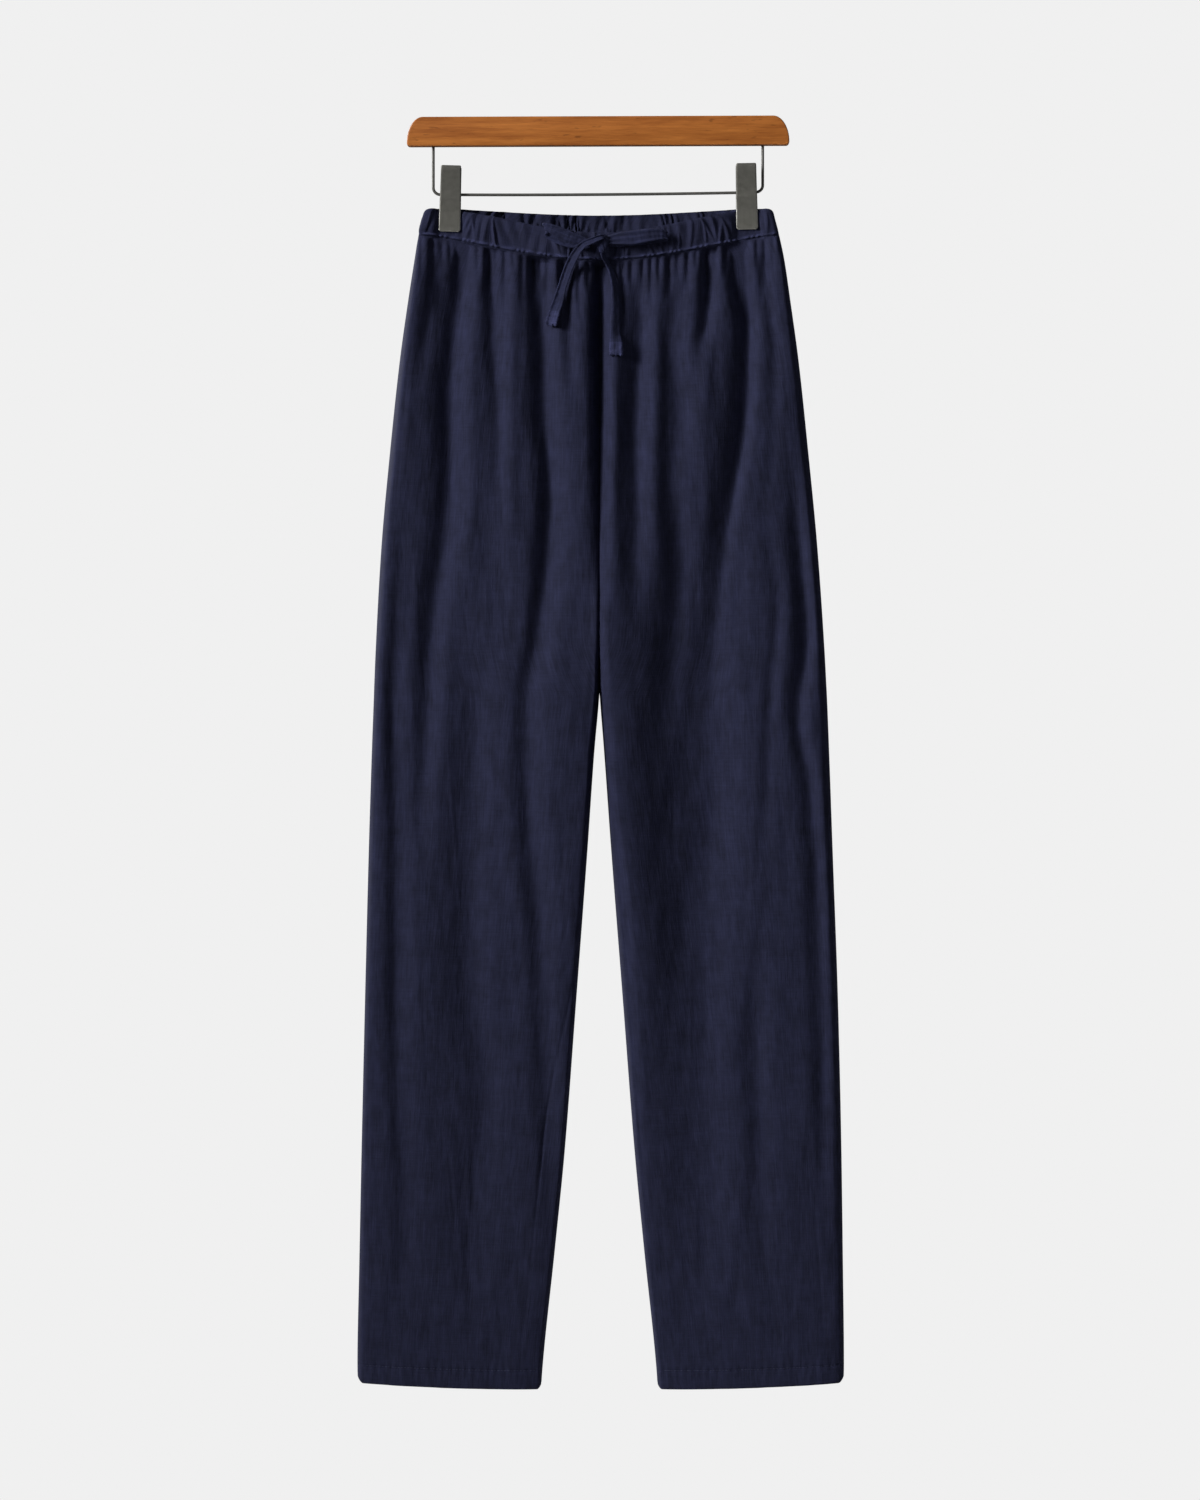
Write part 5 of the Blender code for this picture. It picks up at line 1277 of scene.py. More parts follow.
def steel():
    """The rail's and springs' steel."""
    return shared_material("satin_nickel_steel_wire", steel_material, bpy.context.scene.trouser_hanger.steel)


def nominal_drop(face, x, drop):
    """The row a place on the hanging cloth belongs to, before the seam's sag."""
    nominal = drop
    for _ in range(6):
        nominal = drop - seam_sag(face, x) * sag_share(nominal)
    return nominal


def front_surface(x, drop):
    """Depth of the front's outermost cloth at a place, on the waistband or below it."""
    nominal = nominal_drop("front", x, drop)
    band = pinched_depth("front", x) + BAND_CLOTH + PUCKER_HEIGHT
    hung = folded_depth("front", x, nominal, drop, True)
    return np.where(nominal < BAND_SEAM + 0.002, np.maximum(band, hung), hung)


def strip_front(x, drop, half_width):
    """Depth of the front's outermost cloth across a strip."""
    across = x + np.linspace(-1.0, 1.0, 9) * half_width
    return float(front_surface(across, np.full(9, drop)).max())


def smooth_route(route):
    """Points on a smooth curve through a route's places, with the width at each."""
    places = []
    for lay in route:
        depth = strip_front(lay.x, lay.drop, lay.width / 2.0) + lay.lift
        places.append((Vector((lay.x, -depth, -lay.drop)), lay.width))
    result = []
    last = len(places) - 1
    for index in range(last):
        before = places[max(index - 1, 0)]
        start = places[index]
        end = places[index + 1]
        after = places[min(index + 2, last)]
        for step in range(ROUTE_SAMPLES):
            t = step / ROUTE_SAMPLES
            curve = 0.5 * (2.0 * start[0] + (end[0] - before[0]) * t
                           + (2.0 * before[0] - 5.0 * start[0] + 4.0 * end[0] - after[0]) * t ** 2
                           + (3.0 * start[0] - before[0] - 3.0 * end[0] + after[0]) * t ** 3)
            result.append((curve, mix(start[1], end[1], t)))
    result.append(places[last])
    return result


def tape_section(form, extra, wrinkle):
    """Cross-section of the folded tape: place across, from -1 to 1, and height over its centre line."""
    section = []
    for way, numbers in ((1.0, range(TAPE_STEPS + 1)), (-1.0, range(TAPE_STEPS - 1, 0, -1))):
        for number in numbers:
            across = math.sin(math.pi / 2.0 * (2.0 * number / TAPE_STEPS - 1.0))
            edge = math.sqrt(max(1.0 - abs(across) ** 8, 0.0))
            rim = TAPE_RIM * math.exp(-((abs(across) - 0.84) / 0.13) ** 2)
            crease = TAPE_CREASE * math.exp(-((across - form.groove) / 0.10) ** 2) if form.slope else 0.0
            lift = form.slope * abs(across - form.groove) + wrinkle * (1.0 - across * across)
            lift += form.rib * math.cos(math.pi * form.beats * across + 0.4)
            thick = TAPE / 2.0 * extra * edge * (1.0 + rim - (crease if way > 0.0 else 0.0))
            section.append((across, lift + way * thick))
    return section


def turned_end(folded_end, left_to_go, run):
    """How far a tape is folded over near its free end, with its turn, thickness and width there."""
    folded = ease((folded_end - left_to_go) / TAPE_FOLD_STEP)
    turn = TAPE_END_TURN * ease((TAPE_END_TURN_START * folded_end - left_to_go) / TAPE_END_TURN_RUN)
    thickness = mix(1.0, TAPE_FOLD_EXTRA, folded)
    thickness *= mix(TAPE_TIP_THICKNESS, 1.0, ease(left_to_go / TAPE_TIP_THINNING))
    wider = TAPE_FOLD_WIDER + float(wave_sum(TAPE_FOLD_WAVES, run))
    width = (1.0 + folded * wider) * mix(TAPE_TIP_WIDTH, 1.0, ease(left_to_go / TAPE_TIP_NARROWING))
    return folded, turn, thickness, width


def crossed(beats, run, side):
    """Product of two waves that cross a tape, each with its beats along the run and across."""
    return math.prod(math.sin(along * run + across * side) for along, across in beats)


def make_tape(name, route, across, folded_end=0.0):
    """Flat drawstring tape along a route, with its lengthwise folds and rounded edges."""
    form = FORMS[name]
    places = smooth_route(route)
    runs = [0.0]
    for (start, _), (end, _) in zip(places, places[1:]):
        runs.append(runs[-1] + (end - start).length)
    first_way = (places[1][0] - places[0][0]).normalized()
    facing = -1.0 if across is None or across.cross(first_way).y > 0.0 else 1.0
    points = []
    flat = []
    for index, (point, width) in enumerate(places):
        before = places[max(index - 1, 0)][0]
        after = places[min(index + 1, len(places) - 1)][0]
        along = (after - before).normalized()
        wide = along.cross(Vector((0.0, 1.0, 0.0))) if across is None else across - across.dot(along) * along
        wide.normalize()
        run = runs[index]
        left_to_go = runs[-1] - run
        folded, end_turn, extra, wider = 0.0, 0.0, 1.0, 1.0
        if folded_end:
            folded, end_turn, extra, wider = turned_end(folded_end, left_to_go, run)
        wide = (Matrix.Rotation(form.turn * facing + end_turn, 3, along) @ wide) * width / 2.0 * wider
        thick = facing * wide.cross(along).normalized()
        section = tape_section(form, extra, float(wave_sum(TAPE_WRINKLES, run)))
        for side, height in section:
            height += TAPE_CRINKLE * crossed(TAPE_CRINKLE_BEATS, run, side)
            height += TAPE_END_LUMP * folded * crossed(TAPE_END_LUMP_BEATS, run, side)
            ragged = TAPE_END_RAGGED * folded * math.sin(8.0 * side + len(name))
            ragged *= ease(1.0 - left_to_go / TAPE_END_RAGGED_RUN)
            points.append(point + side * wide + height * thick + ragged * along)
            flat.append((side * width / 2.0 + 0.05 * len(name), run, 0.0))
    count = len(section)
    faces = ring_faces(len(places), count)
    faces.append(tuple(range(count)))
    faces.append(tuple(range(len(points) - count, len(points))))
    tape = add_mesh(name, points, faces, tape_linen(), flat, 70.0)
    if folded_end:
        tape.data.materials.append(worn_linen())
        for ring in range(len(places) - 1):
            if runs[-1] - runs[ring] < folded_end + 0.0005:
                for face in tape.data.polygons[ring * count:(ring + 1) * count]:
                    face.material_index = 1
        tape.data.polygons[-1].material_index = 1
    return tape, [point for point, _ in places], runs[-1]


def make_knot():
    """Small wrapped knot of the bow: a wedge crossed by the turns of the tape."""
    depth = strip_front(KNOT.x, KNOT.drop, KNOT.width / 2.0) + KNOT.lift
    middle = Vector((KNOT.x, -depth, -KNOT.drop))
    points = []
    flat = []
    for line in range(KNOT_LINES + 1):
        height = math.cos(math.pi * line / KNOT_LINES)
        ring = math.sin(math.pi * line / KNOT_LINES) ** KNOT_FULL
        taper = mix(KNOT_FOOT, 1.0, ease(0.5 + 0.5 * height))
        for column in range(KNOT_COLUMNS):
            angle = 2.0 * math.pi * column / KNOT_COLUMNS
            x = ring * math.cos(angle)
            y = ring * math.sin(angle)
            swell = 1.0
            for crease in KNOT_CREASES:
                away = (x + crease.lean * height + crease.shift) / crease.width
                swell -= crease.depth * math.exp(-away ** 2)
            points.append(middle + Vector((x * taper * KNOT.width / 2.0 * swell,
                                           y * KNOT_DEPTH / 2.0 * swell,
                                           height * KNOT_HEIGHT / 2.0)))
            flat.append((0.004 * angle, 0.009 * height, 0.0))
    faces = ring_faces(KNOT_LINES + 1, KNOT_COLUMNS)
    knot = add_mesh("bow_knot", points, faces, tape_linen(), flat)
    welded = bmesh.new()
    welded.from_mesh(knot.data)
    bmesh.ops.remove_doubles(welded, verts=welded.verts, dist=1e-6)
    welded.to_mesh(knot.data)
    welded.free()
    return knot


def stitch_row(name, line, outward):
    """Row of separate raised stitches along a line of points on the cloth."""
    line = np.asarray(line)
    steps = np.linalg.norm(np.diff(line, axis=0), axis=1)
    runs = np.concatenate(((0.0,), np.cumsum(steps)))
    rng = random.Random(name)
    points = []
    faces = []
    place = 0.0
    while place + STITCH_LENGTH < runs[-1]:
        centres = [np.array([np.interp(place + ring.share * STITCH_LENGTH, runs, line[:, axis])
                             for axis in range(3)]) for ring in STITCH_RINGS]
        along = (centres[2] - centres[0]) / np.linalg.norm(centres[2] - centres[0])
        sideways = np.cross(along, outward)
        sideways /= np.linalg.norm(sideways)
        up = np.cross(sideways, along)
        if np.dot(up, outward) < 0.0:
            up = -up
        drift = rng.uniform(-STITCH_DRIFT, STITCH_DRIFT)
        first = len(points)
        for centre, ring in zip(centres, STITCH_RINGS):
            for corner in range(STITCH_CORNERS):
                angle = 2.0 * math.pi * corner / STITCH_CORNERS
                offset = math.cos(angle) * sideways + math.sin(angle) * up
                points.append(centre + ring.size * STITCH_RADIUS * offset + ring.lift * up + drift * sideways)
        faces += ring_faces(len(STITCH_RINGS), STITCH_CORNERS, first)
        faces.append(tuple(range(first, first + STITCH_CORNERS)))
        faces.append(tuple(range(len(points) - STITCH_CORNERS, len(points))))
        place += STITCH_PITCH * rng.uniform(*STITCH_SPACING)
    return add_mesh(name, [tuple(point) for point in points], faces, thread())


def make_panel(side, face):
    """One leg panel: a thin shell from the waistband seam to the hem."""
    steps = panel_steps(FRONT_FACE if face == "front" else BACK_FACE)
    rows = panel_rows()
    outer = panel_grid(side, face, steps, rows, True)
    inner_rows = thinned(rows)
    way = SAG[face].side
    inward = 1.0 if side == "left" else -1.0
    base = panel_grid(side, face, thinned(steps), inner_rows, False)
    tuck = read_all(BODY, "groove", inner_rows) * math.pi / 2.0
    end = np.stack((-inward * np.sin(tuck), -way * np.cos(tuck), 0.0 * tuck), axis=-1)
    normals = inward_normals(base, -inward * way, (inward, 0.0, 0.0), end)
    thickness = CLOTH + HEM_EXTRA * 2.0 * hem_share(inner_rows)[:, None, None]
    inner = step_in(base, normals, thickness, way)
    panel = shell("leg_" + face + "_" + side, outer, inner, rows, inner_rows, linen())
    seat(panel, "linen", face + "_" + side)
    line = panel_grid(side, face, panel_steps(HEM_LINE_POINTS), np.array([HEM - HEM_TURN]), True)[0]
    line = line[HEM_LINE_MARGIN:-HEM_LINE_MARGIN] + (0.0, way * STITCH_OUT, 0.0)
    sewing = stitch_row("hem_stitches_" + face + "_" + side, line, np.array([0.0, way, 0.0]))
    seat(sewing, "linen")
    return panel


def band_grid(face, steps, rises):
    """Points of a waistband half and its puckers' height: rise is 1 at the top edge, 0 at the seam."""
    rise = rises[:, None]
    step = steps[None, :]
    seam_drop = BAND_SEAM - GAP / 2.0
    nominal = mix(seam_drop, BAND_TOP, rise)
    left = read_all(OUTLINE, "left", nominal)
    right = read_all(OUTLINE, "right", nominal)
    into_corner = np.clip((BAND_TOP + BAND_CORNER - nominal) / BAND_CORNER, 0.0, 1.0)
    inset = BAND_CORNER * (1.0 - np.sqrt(1.0 - into_corner ** 2))
    left, right = left + inset, right - inset
    edge_run = read_all(BODY, "edge", nominal)
    x, share, left_turn, right_turn = places_across(step, left, right, edge_run, edge_run)
    turn = np.minimum(np.sin(left_turn), np.sin(right_turn))
    depth = (pinched_depth(face, x) + BAND_CLOTH) * turn
    top = BAND_TOP + SAG[face].top * middle_share(x) ** 2
    drop = mix(seam_drop + seam_sag(face, x), top, rise)
    points = np.stack((x, SAG[face].side * np.maximum(depth, GAP / 2.0), -drop), axis=-1)
    return points, pucker_height(face, share, rise, x) * np.minimum(turn * PUCKER_SIDES, 1.0)


def pucker_height(face, share, rise, x):
    """Height of the waistband's elastic puckers over its base: uneven, leaning and merging ridges."""
    rng = random.Random(face + " puckers")
    height = np.zeros(np.broadcast(share, rise).shape)
    place = 0.002
    while place < 0.998:
        wide = rng.choice(PUCKER_WIDTHS)
        lean = rng.uniform(-PUCKER_LEAN, PUCKER_LEAN)
        bend = rng.uniform(-PUCKER_BEND, PUCKER_BEND)
        tall = rng.uniform(*PUCKER_TALL) * mix(1.0, 0.75, wide - 0.8)
        level = rng.uniform(*PUCKER_LEVEL)
        reach = rng.uniform(*PUCKER_REACH)
        middle = place + (lean * (rise - 0.5) + bend * (rise - 0.5) ** 2) / PUCKERS
        away = (share - middle) * PUCKERS / (PUCKER_HALF_WIDTH * wide)
        ridge = tall * np.exp(-np.abs(away) ** PUCKER_SHARPNESS - ((rise - level) / reach) ** 2)
        height = np.maximum(height, ridge) + PUCKER_MERGED * np.minimum(height, ridge)
        place += rng.uniform(*PUCKER_SPACING) * mix(0.75, wide, 0.6) / PUCKERS
    free = smooth((np.abs(np.abs(x - CENTRE) - CLIP_X) - CLIP_CLEARANCE) / CLIP_CLEARANCE_RUN)
    inside = np.sin(math.pi * np.clip(rise, 0.0, 1.0)) ** 0.5
    height = height * mix(PUCKER_LEFT, PUCKER_RIGHT, smooth(share)) * mix(PUCKER_AT_ENDS, 1.0, inside)
    return PUCKER_HEIGHT * height * mix(PUCKER_AT_CLIPS, 1.0, free) * smooth(rise / PUCKER_ONSET)


def band_face(face, count, rises):
    """One face of a waistband half before it is puckered, its puckers' height and its normals."""
    base, height = band_grid(face, panel_steps(count), rises)
    return base, height, inward_normals(base, -SAG[face].side, (1.0, 0.0, 0.0), (-1.0, 0.0, 0.0))


def welt_lumps(run):
    """Unevenness of the seam's welt along the waistband."""
    return 0.72 + 0.28 * np.sin(run / 0.0011 + 2.6 * np.sin(run / 0.0037) + 1.7 * np.sin(run / 0.0093))


def make_band(face):
    """Half of the waistband: an elasticated casing whose puckers show on both sides."""
    base, height, normals = band_face(face, BAND_FACE, BAND_RISES)
    rise = BAND_RISES[:, None]
    run = base[..., 0]
    lumps = welt_lumps(run)
    from_ends = (np.clip((run - run[:, :1]) / WELT_ENDS, 0.0, 1.0)
                 * np.clip((run[:, -1:] - run) / WELT_ENDS, 0.0, 1.0))
    welt = WELT_HEIGHT * lumps * smooth(from_ends) * np.exp(-((rise - WELT_RISE) / WELT_SPREAD) ** 2)
    kept = 1.0 - PUCKER_AT_WELT * np.exp(-((rise - 0.03) / 0.10) ** 2)
    turned = TOP_EDGE_TURN * smooth((rise - TOP_EDGE_RISE) / (1.0 - TOP_EDGE_RISE))
    outer = base - (height * kept + welt - turned)[..., None] * normals
    outer[..., 2] += PUCKER_SHIFT * height * (rise - 0.5)
    # Painted highlight along the welt, strongest on its lumps
    rubbed = np.clip(2.2 * lumps - 0.9, 0.1, 1.0) * np.exp(-((rise - WELT_HIGHLIGHT_RISE) / WELT_HIGHLIGHT_SPREAD) ** 2)
    inner_rises = thinned(BAND_RISES)
    base, height, normals = band_face(face, BAND_FACE // 2, inner_rises)
    inner = base - PUCKER_INSIDE * height[..., None] * normals
    inner = step_in(inner, normals, BAND_CLOTH, SAG[face].side)
    band = shell("band_" + face, outer, inner, BAND_CUT.length * BAND_RISES, BAND_CUT.length * inner_rises,
                 linen(), rubbed)
    seat(band, "linen", "waistband_" + face)
    return band


def arc(centre, radius_x, radius_z, start, end, steps):
    """Points of a quarter ellipse in the XZ plane, angles in degrees."""
    points = []
    for step in range(steps + 1):
        angle = math.radians(mix(start, end, step / steps))
        points.append((centre[0] + radius_x * math.cos(angle), centre[1] + radius_z * math.sin(angle)))
    return points


def use_modifier(thing, kind, **settings):
    """Apply one modifier to a mesh object."""
    change = thing.modifiers.new("change", kind)
    for name, value in settings.items():
        setattr(change, name, value)
    bpy.context.view_layer.update()
    evaluated = thing.evaluated_get(bpy.context.evaluated_depsgraph_get())
    result = bpy.data.meshes.new_from_object(evaluated)
    thing.modifiers.clear()
    thing.data = result


def cut_with(thing, tool_mesh, operation):
    """Add or cut a tool mesh and keep only the result."""
    data = bpy.data.meshes.new("tool")
    bmesh.ops.recalc_face_normals(tool_mesh, faces=tool_mesh.faces)
    tool_mesh.to_mesh(data)
    tool_mesh.free()
    tool = bpy.data.objects.new("tool", data)
    bpy.context.scene.collection.objects.link(tool)
    use_modifier(thing, "BOOLEAN", operation=operation, object=tool)
    bpy.data.objects.remove(tool)


def shade(thing, degrees):
    """Smooth shading that keeps edges sharper than an angle."""
    thing.data.shade_smooth()
    thing.data.set_sharp_from_angle(angle=math.radians(degrees))


def make_bar():
    """Wooden bar with rounded shoulders, eased edges and a socket for each end of the rail."""
    hanger = bpy.context.scene.trouser_hanger
    half = BAR_LENGTH / 2.0
    shoulder = (BAR_SHOULDER_RUN, BAR_SHOULDER_FALL)
    lower = (half - BAR_LOWER_ROUND, -BAR_HEIGHT + BAR_LOWER_ROUND)
    right = arc(lower, BAR_LOWER_ROUND, BAR_LOWER_ROUND, -90.0, -10.0, 6)
    right += arc((half - BAR_SHOULDER_RUN, -BAR_SHOULDER_FALL), *shoulder, 4.0, 90.0, 24)
    outline = right + [(-x, z) for x, z in reversed(right)]
    count = len(outline)
    points = [(x, way * BAR_DEPTH / 2.0, z) for way in (-1.0, 1.0) for x, z in outline]
    faces = [tuple(range(count)), tuple(range(count, 2 * count))] + ring_faces(2, count)
    wood = shared_material("lacquered_beech", wood_material, hanger.wood, hanger.wood_grain)
    bar = add_mesh("wooden_bar", points, faces, wood)
    use_modifier(bar, "BEVEL", width=hanger.bar_edge, segments=4, limit_method="ANGLE",
                 angle_limit=math.radians(60.0))
    for side in (-1.0, 1.0):
        drill = bmesh.new()
        turn = Matrix.Translation((side * RAIL_HALF_SPAN, 0.0, -BAR_HEIGHT))
        bmesh.ops.create_cone(drill, cap_ends=True, segments=28, radius1=RAIL_RADIUS + GAP,
                              radius2=RAIL_RADIUS + GAP, depth=2.0 * (RAIL_SOCKET + GAP), matrix=turn)
        cut_with(bar, drill, "DIFFERENCE")
    tilt = Matrix.Rotation(math.radians(-BAR_TILT_DEGREES), 4, "Y")
    bar.data.transform(Matrix.Translation((0.0, 0.0, -BAR_LOWERED)) @ tilt)
    shade(bar, 40.0)
    return seat(bar, "bar_wood", "hanger_bar")


def rail_height(x):
    """Height of the rail's level stretch, which sags and tilts a little."""
    share = x / RAIL_HALF_SPAN
    return -RAIL_DROP + RAIL_TILT * share - RAIL_SAG * (1.0 - share * share)


def make_wire(name, points, radius, material):
    """Round wire along points, with filled ends."""
    data = bpy.data.curves.new(name, "CURVE")
    data.dimensions = "3D"
    data.bevel_depth = radius
    data.bevel_resolution = 6
    data.use_fill_caps = True
    line = data.splines.new("POLY")
    line.points.add(len(points) - 1)
    for slot, point in zip(line.points, points):
        slot.co = (*point, 1.0)
    wire = bpy.data.objects.new(name, data)
    bpy.context.scene.collection.objects.link(wire)
    data.materials.append(material)
    return wire


def make_rail():
    """Bent steel rail: up into the bar at each end."""
    path = [(x, rail_height(x)) for x in np.linspace(-RAIL_LEVEL, RAIL_LEVEL, 25) * RAIL_HALF_SPAN]
    for side in (-1.0, 1.0):
        foot = rail_height(side * RAIL_HALF_SPAN)
        bend = arc((RAIL_HALF_SPAN - RAIL_BEND, foot + RAIL_BEND), RAIL_BEND, RAIL_BEND, -90.0, 0.0, 14)
        rise = [(RAIL_HALF_SPAN, mix(foot, -BAR_HEIGHT, 0.6)), (RAIL_HALF_SPAN, RAIL_SOCKET - BAR_HEIGHT)]
        end = [(side * x, z) for x, z in bend + rise]
        path = path + end if side > 0.0 else end[::-1] + path
    rail = make_wire("steel_rail", [Vector((x, 0.0, z)) for x, z in path], RAIL_RADIUS, steel())
    return seat(rail, "rail_steel", "hanger_rail")


def plate_lines():
    """Rows down a clip plate, closer together at its rounded foot."""
    foot = PLATE[-1].rise
    rounding = CLIP_CORNER * (1.0 - np.sin(np.linspace(0.15, math.pi / 2.0, 8)))
    heights = np.concatenate((np.linspace(PLATE[0].rise, foot + CLIP_CORNER, 60), foot + rounding))
    rises = [-row.rise for row in PLATE]
    outs = np.interp(-heights, rises, [row.out for row in PLATE])
    halves = np.interp(-heights, rises, [row.half_width for row in PLATE])
    corner = np.clip((foot + CLIP_CORNER - heights) / CLIP_CORNER, 0.0, 1.0)
    top_corner = np.clip((heights - PLATE[0].rise + CLIP_TOP_CORNER) / CLIP_TOP_CORNER, 0.0, 1.0)
    halves = halves - CLIP_CORNER * (1.0 - np.sqrt(1.0 - corner ** 2))
    halves = halves - CLIP_TOP_CORNER * (1.0 - np.sqrt(1.0 - top_corner ** 2))
    return heights, outs, halves


def make_plate(name, way, ear_offset, place):
    """One clip plate with its rim rolled back, and two ears drilled for the rail."""
    hanger = bpy.context.scene.trouser_hanger
    heights, outs, halves = plate_lines()
    across = np.sin(np.linspace(-math.pi / 2.0, math.pi / 2.0, 25))
    lines = len(heights)
    columns = len(across)
    points = []
    for outer in (True, False):
        for height, out, half in zip(heights, outs, halves):
            for side in across:
                depth = out
                if outer:
                    roll = max(abs(side) * half - half + CLIP_EDGE_ROLL, 0.0) ** 2 / CLIP_EDGE_ROLL
                    foot = CLIP_EDGE_ROLL * ease((heights[-1] + CLIP_EDGE_ROLL - height) / CLIP_EDGE_ROLL)
                    depth = out + max(CLIP_PLATE - 0.8 * max(roll, foot), CLIP_EDGE_LEAST)
                points.append((side * half, way * depth, height))
    faces = []
    for layer in (0, lines * columns):
        for line in range(lines - 1):
            for column in range(columns - 1):
                base = layer + line * columns + column
                faces.append((base, base + 1, base + columns + 1, base + columns))
    second = lines * columns
    rim = list(range(columns))
    rim += [line * columns + columns - 1 for line in range(1, lines)]
    rim += [(lines - 1) * columns + column for column in range(columns - 2, -1, -1)]
    rim += [line * columns for line in range(lines - 2, 0, -1)]
    for start, end in zip(rim, rim[1:] + rim[:1]):
        faces.append((start, end, second + end, second + start))
    coat = shared_material("satin_grey_coated_steel", plate_material, hanger.plate, 0.45)
    paler_tint = shared_material("worn_steel_edge", plate_material, hanger.plate_edge, 0.6)
    plate = add_mesh(name, points, faces, coat)
    plate.data.materials.append(paler_tint)
    root = JAW_TOP.out + CLIP_PLATE / 2.0
    for side in (-1.0, 1.0):
        ear = bmesh.new()
        size = (CLIP_PLATE, root + CLIP_EAR_REACH, 2.0 * CLIP_EAR_HALF_HEIGHT)
        spot = Matrix.Translation((side * ear_offset, way * (root - CLIP_EAR_REACH) / 2.0, 0.0))
        bmesh.ops.create_cube(ear, size=1.0, matrix=spot @ Matrix.Diagonal((*size, 1.0)))
        level = [edge for edge in ear.edges if abs(edge.verts[0].co.x - edge.verts[1].co.x) > 1e-5]
        bmesh.ops.bevel(ear, geom=level, offset=CLIP_EAR_ROUND, segments=4, affect="EDGES",
                        clamp_overlap=True)
        cut_with(plate, ear, "UNION")
    drill = bmesh.new()
    bmesh.ops.create_cone(drill, cap_ends=True, segments=28, radius1=RAIL_RADIUS + GAP,
                          radius2=RAIL_RADIUS + GAP, depth=CLIP_DRILL,
                          matrix=Matrix.Rotation(math.pi / 2.0, 4, "Y"))
    cut_with(plate, drill, "DIFFERENCE")
    for face in plate.data.polygons:
        middle = face.center
        half = float(np.interp(-middle.z, -heights, halves))
        near_side = half - abs(middle.x) < 0.75 * CLIP_EDGE_ROLL
        near_foot = middle.z < heights[-1] + 0.7 * CLIP_EDGE_ROLL
        face.material_index = 1 if (near_side or near_foot) and middle.z < CLIP_WORN_FROM else 0
    plate.data.transform(place)
    shade(plate, 35.0)
    return plate


def make_spring(name, place):
    """Coil on the rail between the ears, with an arm up behind each plate's handle."""
    radius = RAIL_RADIUS + GAP + SPRING_WIRE
    last = SPRING_TURNS * SPRING_STEPS
    points = []
    for step in range(last + 1):
        angle = 2.0 * math.pi * step / SPRING_STEPS
        x = mix(-SPRING_LENGTH / 2.0, SPRING_LENGTH / 2.0, step / last)
        points.append(Vector((x, -radius * math.cos(angle), radius * math.sin(angle))))
    lean = (HANDLE_TOP.out - HANDLE_FOOT.out) / (HANDLE_TOP.rise - HANDLE_FOOT.rise)
    reach = HANDLE_FOOT.out + lean * (SPRING_ARM - HANDLE_FOOT.rise) - GAP - SPRING_WIRE
    points.insert(0, Vector((-SPRING_LENGTH / 2.0, -reach, SPRING_ARM)))
    points.append(Vector((SPRING_LENGTH / 2.0 + SPRING_SIDESTEP, reach, SPRING_ARM)))
    return make_wire(name, [place @ point for point in points], SPRING_WIRE, steel())


def make_clip(clip):
    """A clip of two plates and a spring, tilted a little on the rail."""
    place = Matrix.Translation((clip.x, 0.0, rail_height(clip.x)))
    place = place @ Matrix.Rotation(math.radians(clip.tilt_degrees), 4, "Y")
    inner_ear = CLIP_EAR_OFFSET - CLIP_PLATE - GAP
    for part, way, ear in (("front", -1.0, CLIP_EAR_OFFSET), ("back", 1.0, inner_ear)):
        plate = make_plate("clip_plate_" + clip.name + "_" + part, way, ear, place)
        seat(plate, "clip_metal", "clip_" + clip.name + "_" + part)
    spring = make_spring("clip_coil_" + clip.name, place)
    seat(spring, "rail_steel", "clip_" + clip.name + "_spring")


def add_light(name, power):
    """Square soft light from the table of lights, aimed at its target."""
    place, target, size, spread = LIGHTS[name]
    data = bpy.data.lights.new(name, "AREA")
    data.energy = power
    data.size = size
    data.spread = math.radians(spread)
    light = bpy.data.objects.new(name, data)
    bpy.context.scene.collection.objects.link(light)
    light.location = place
    light.rotation_euler = (Vector(target) - light.location).to_track_quat("-Z", "Y").to_euler()


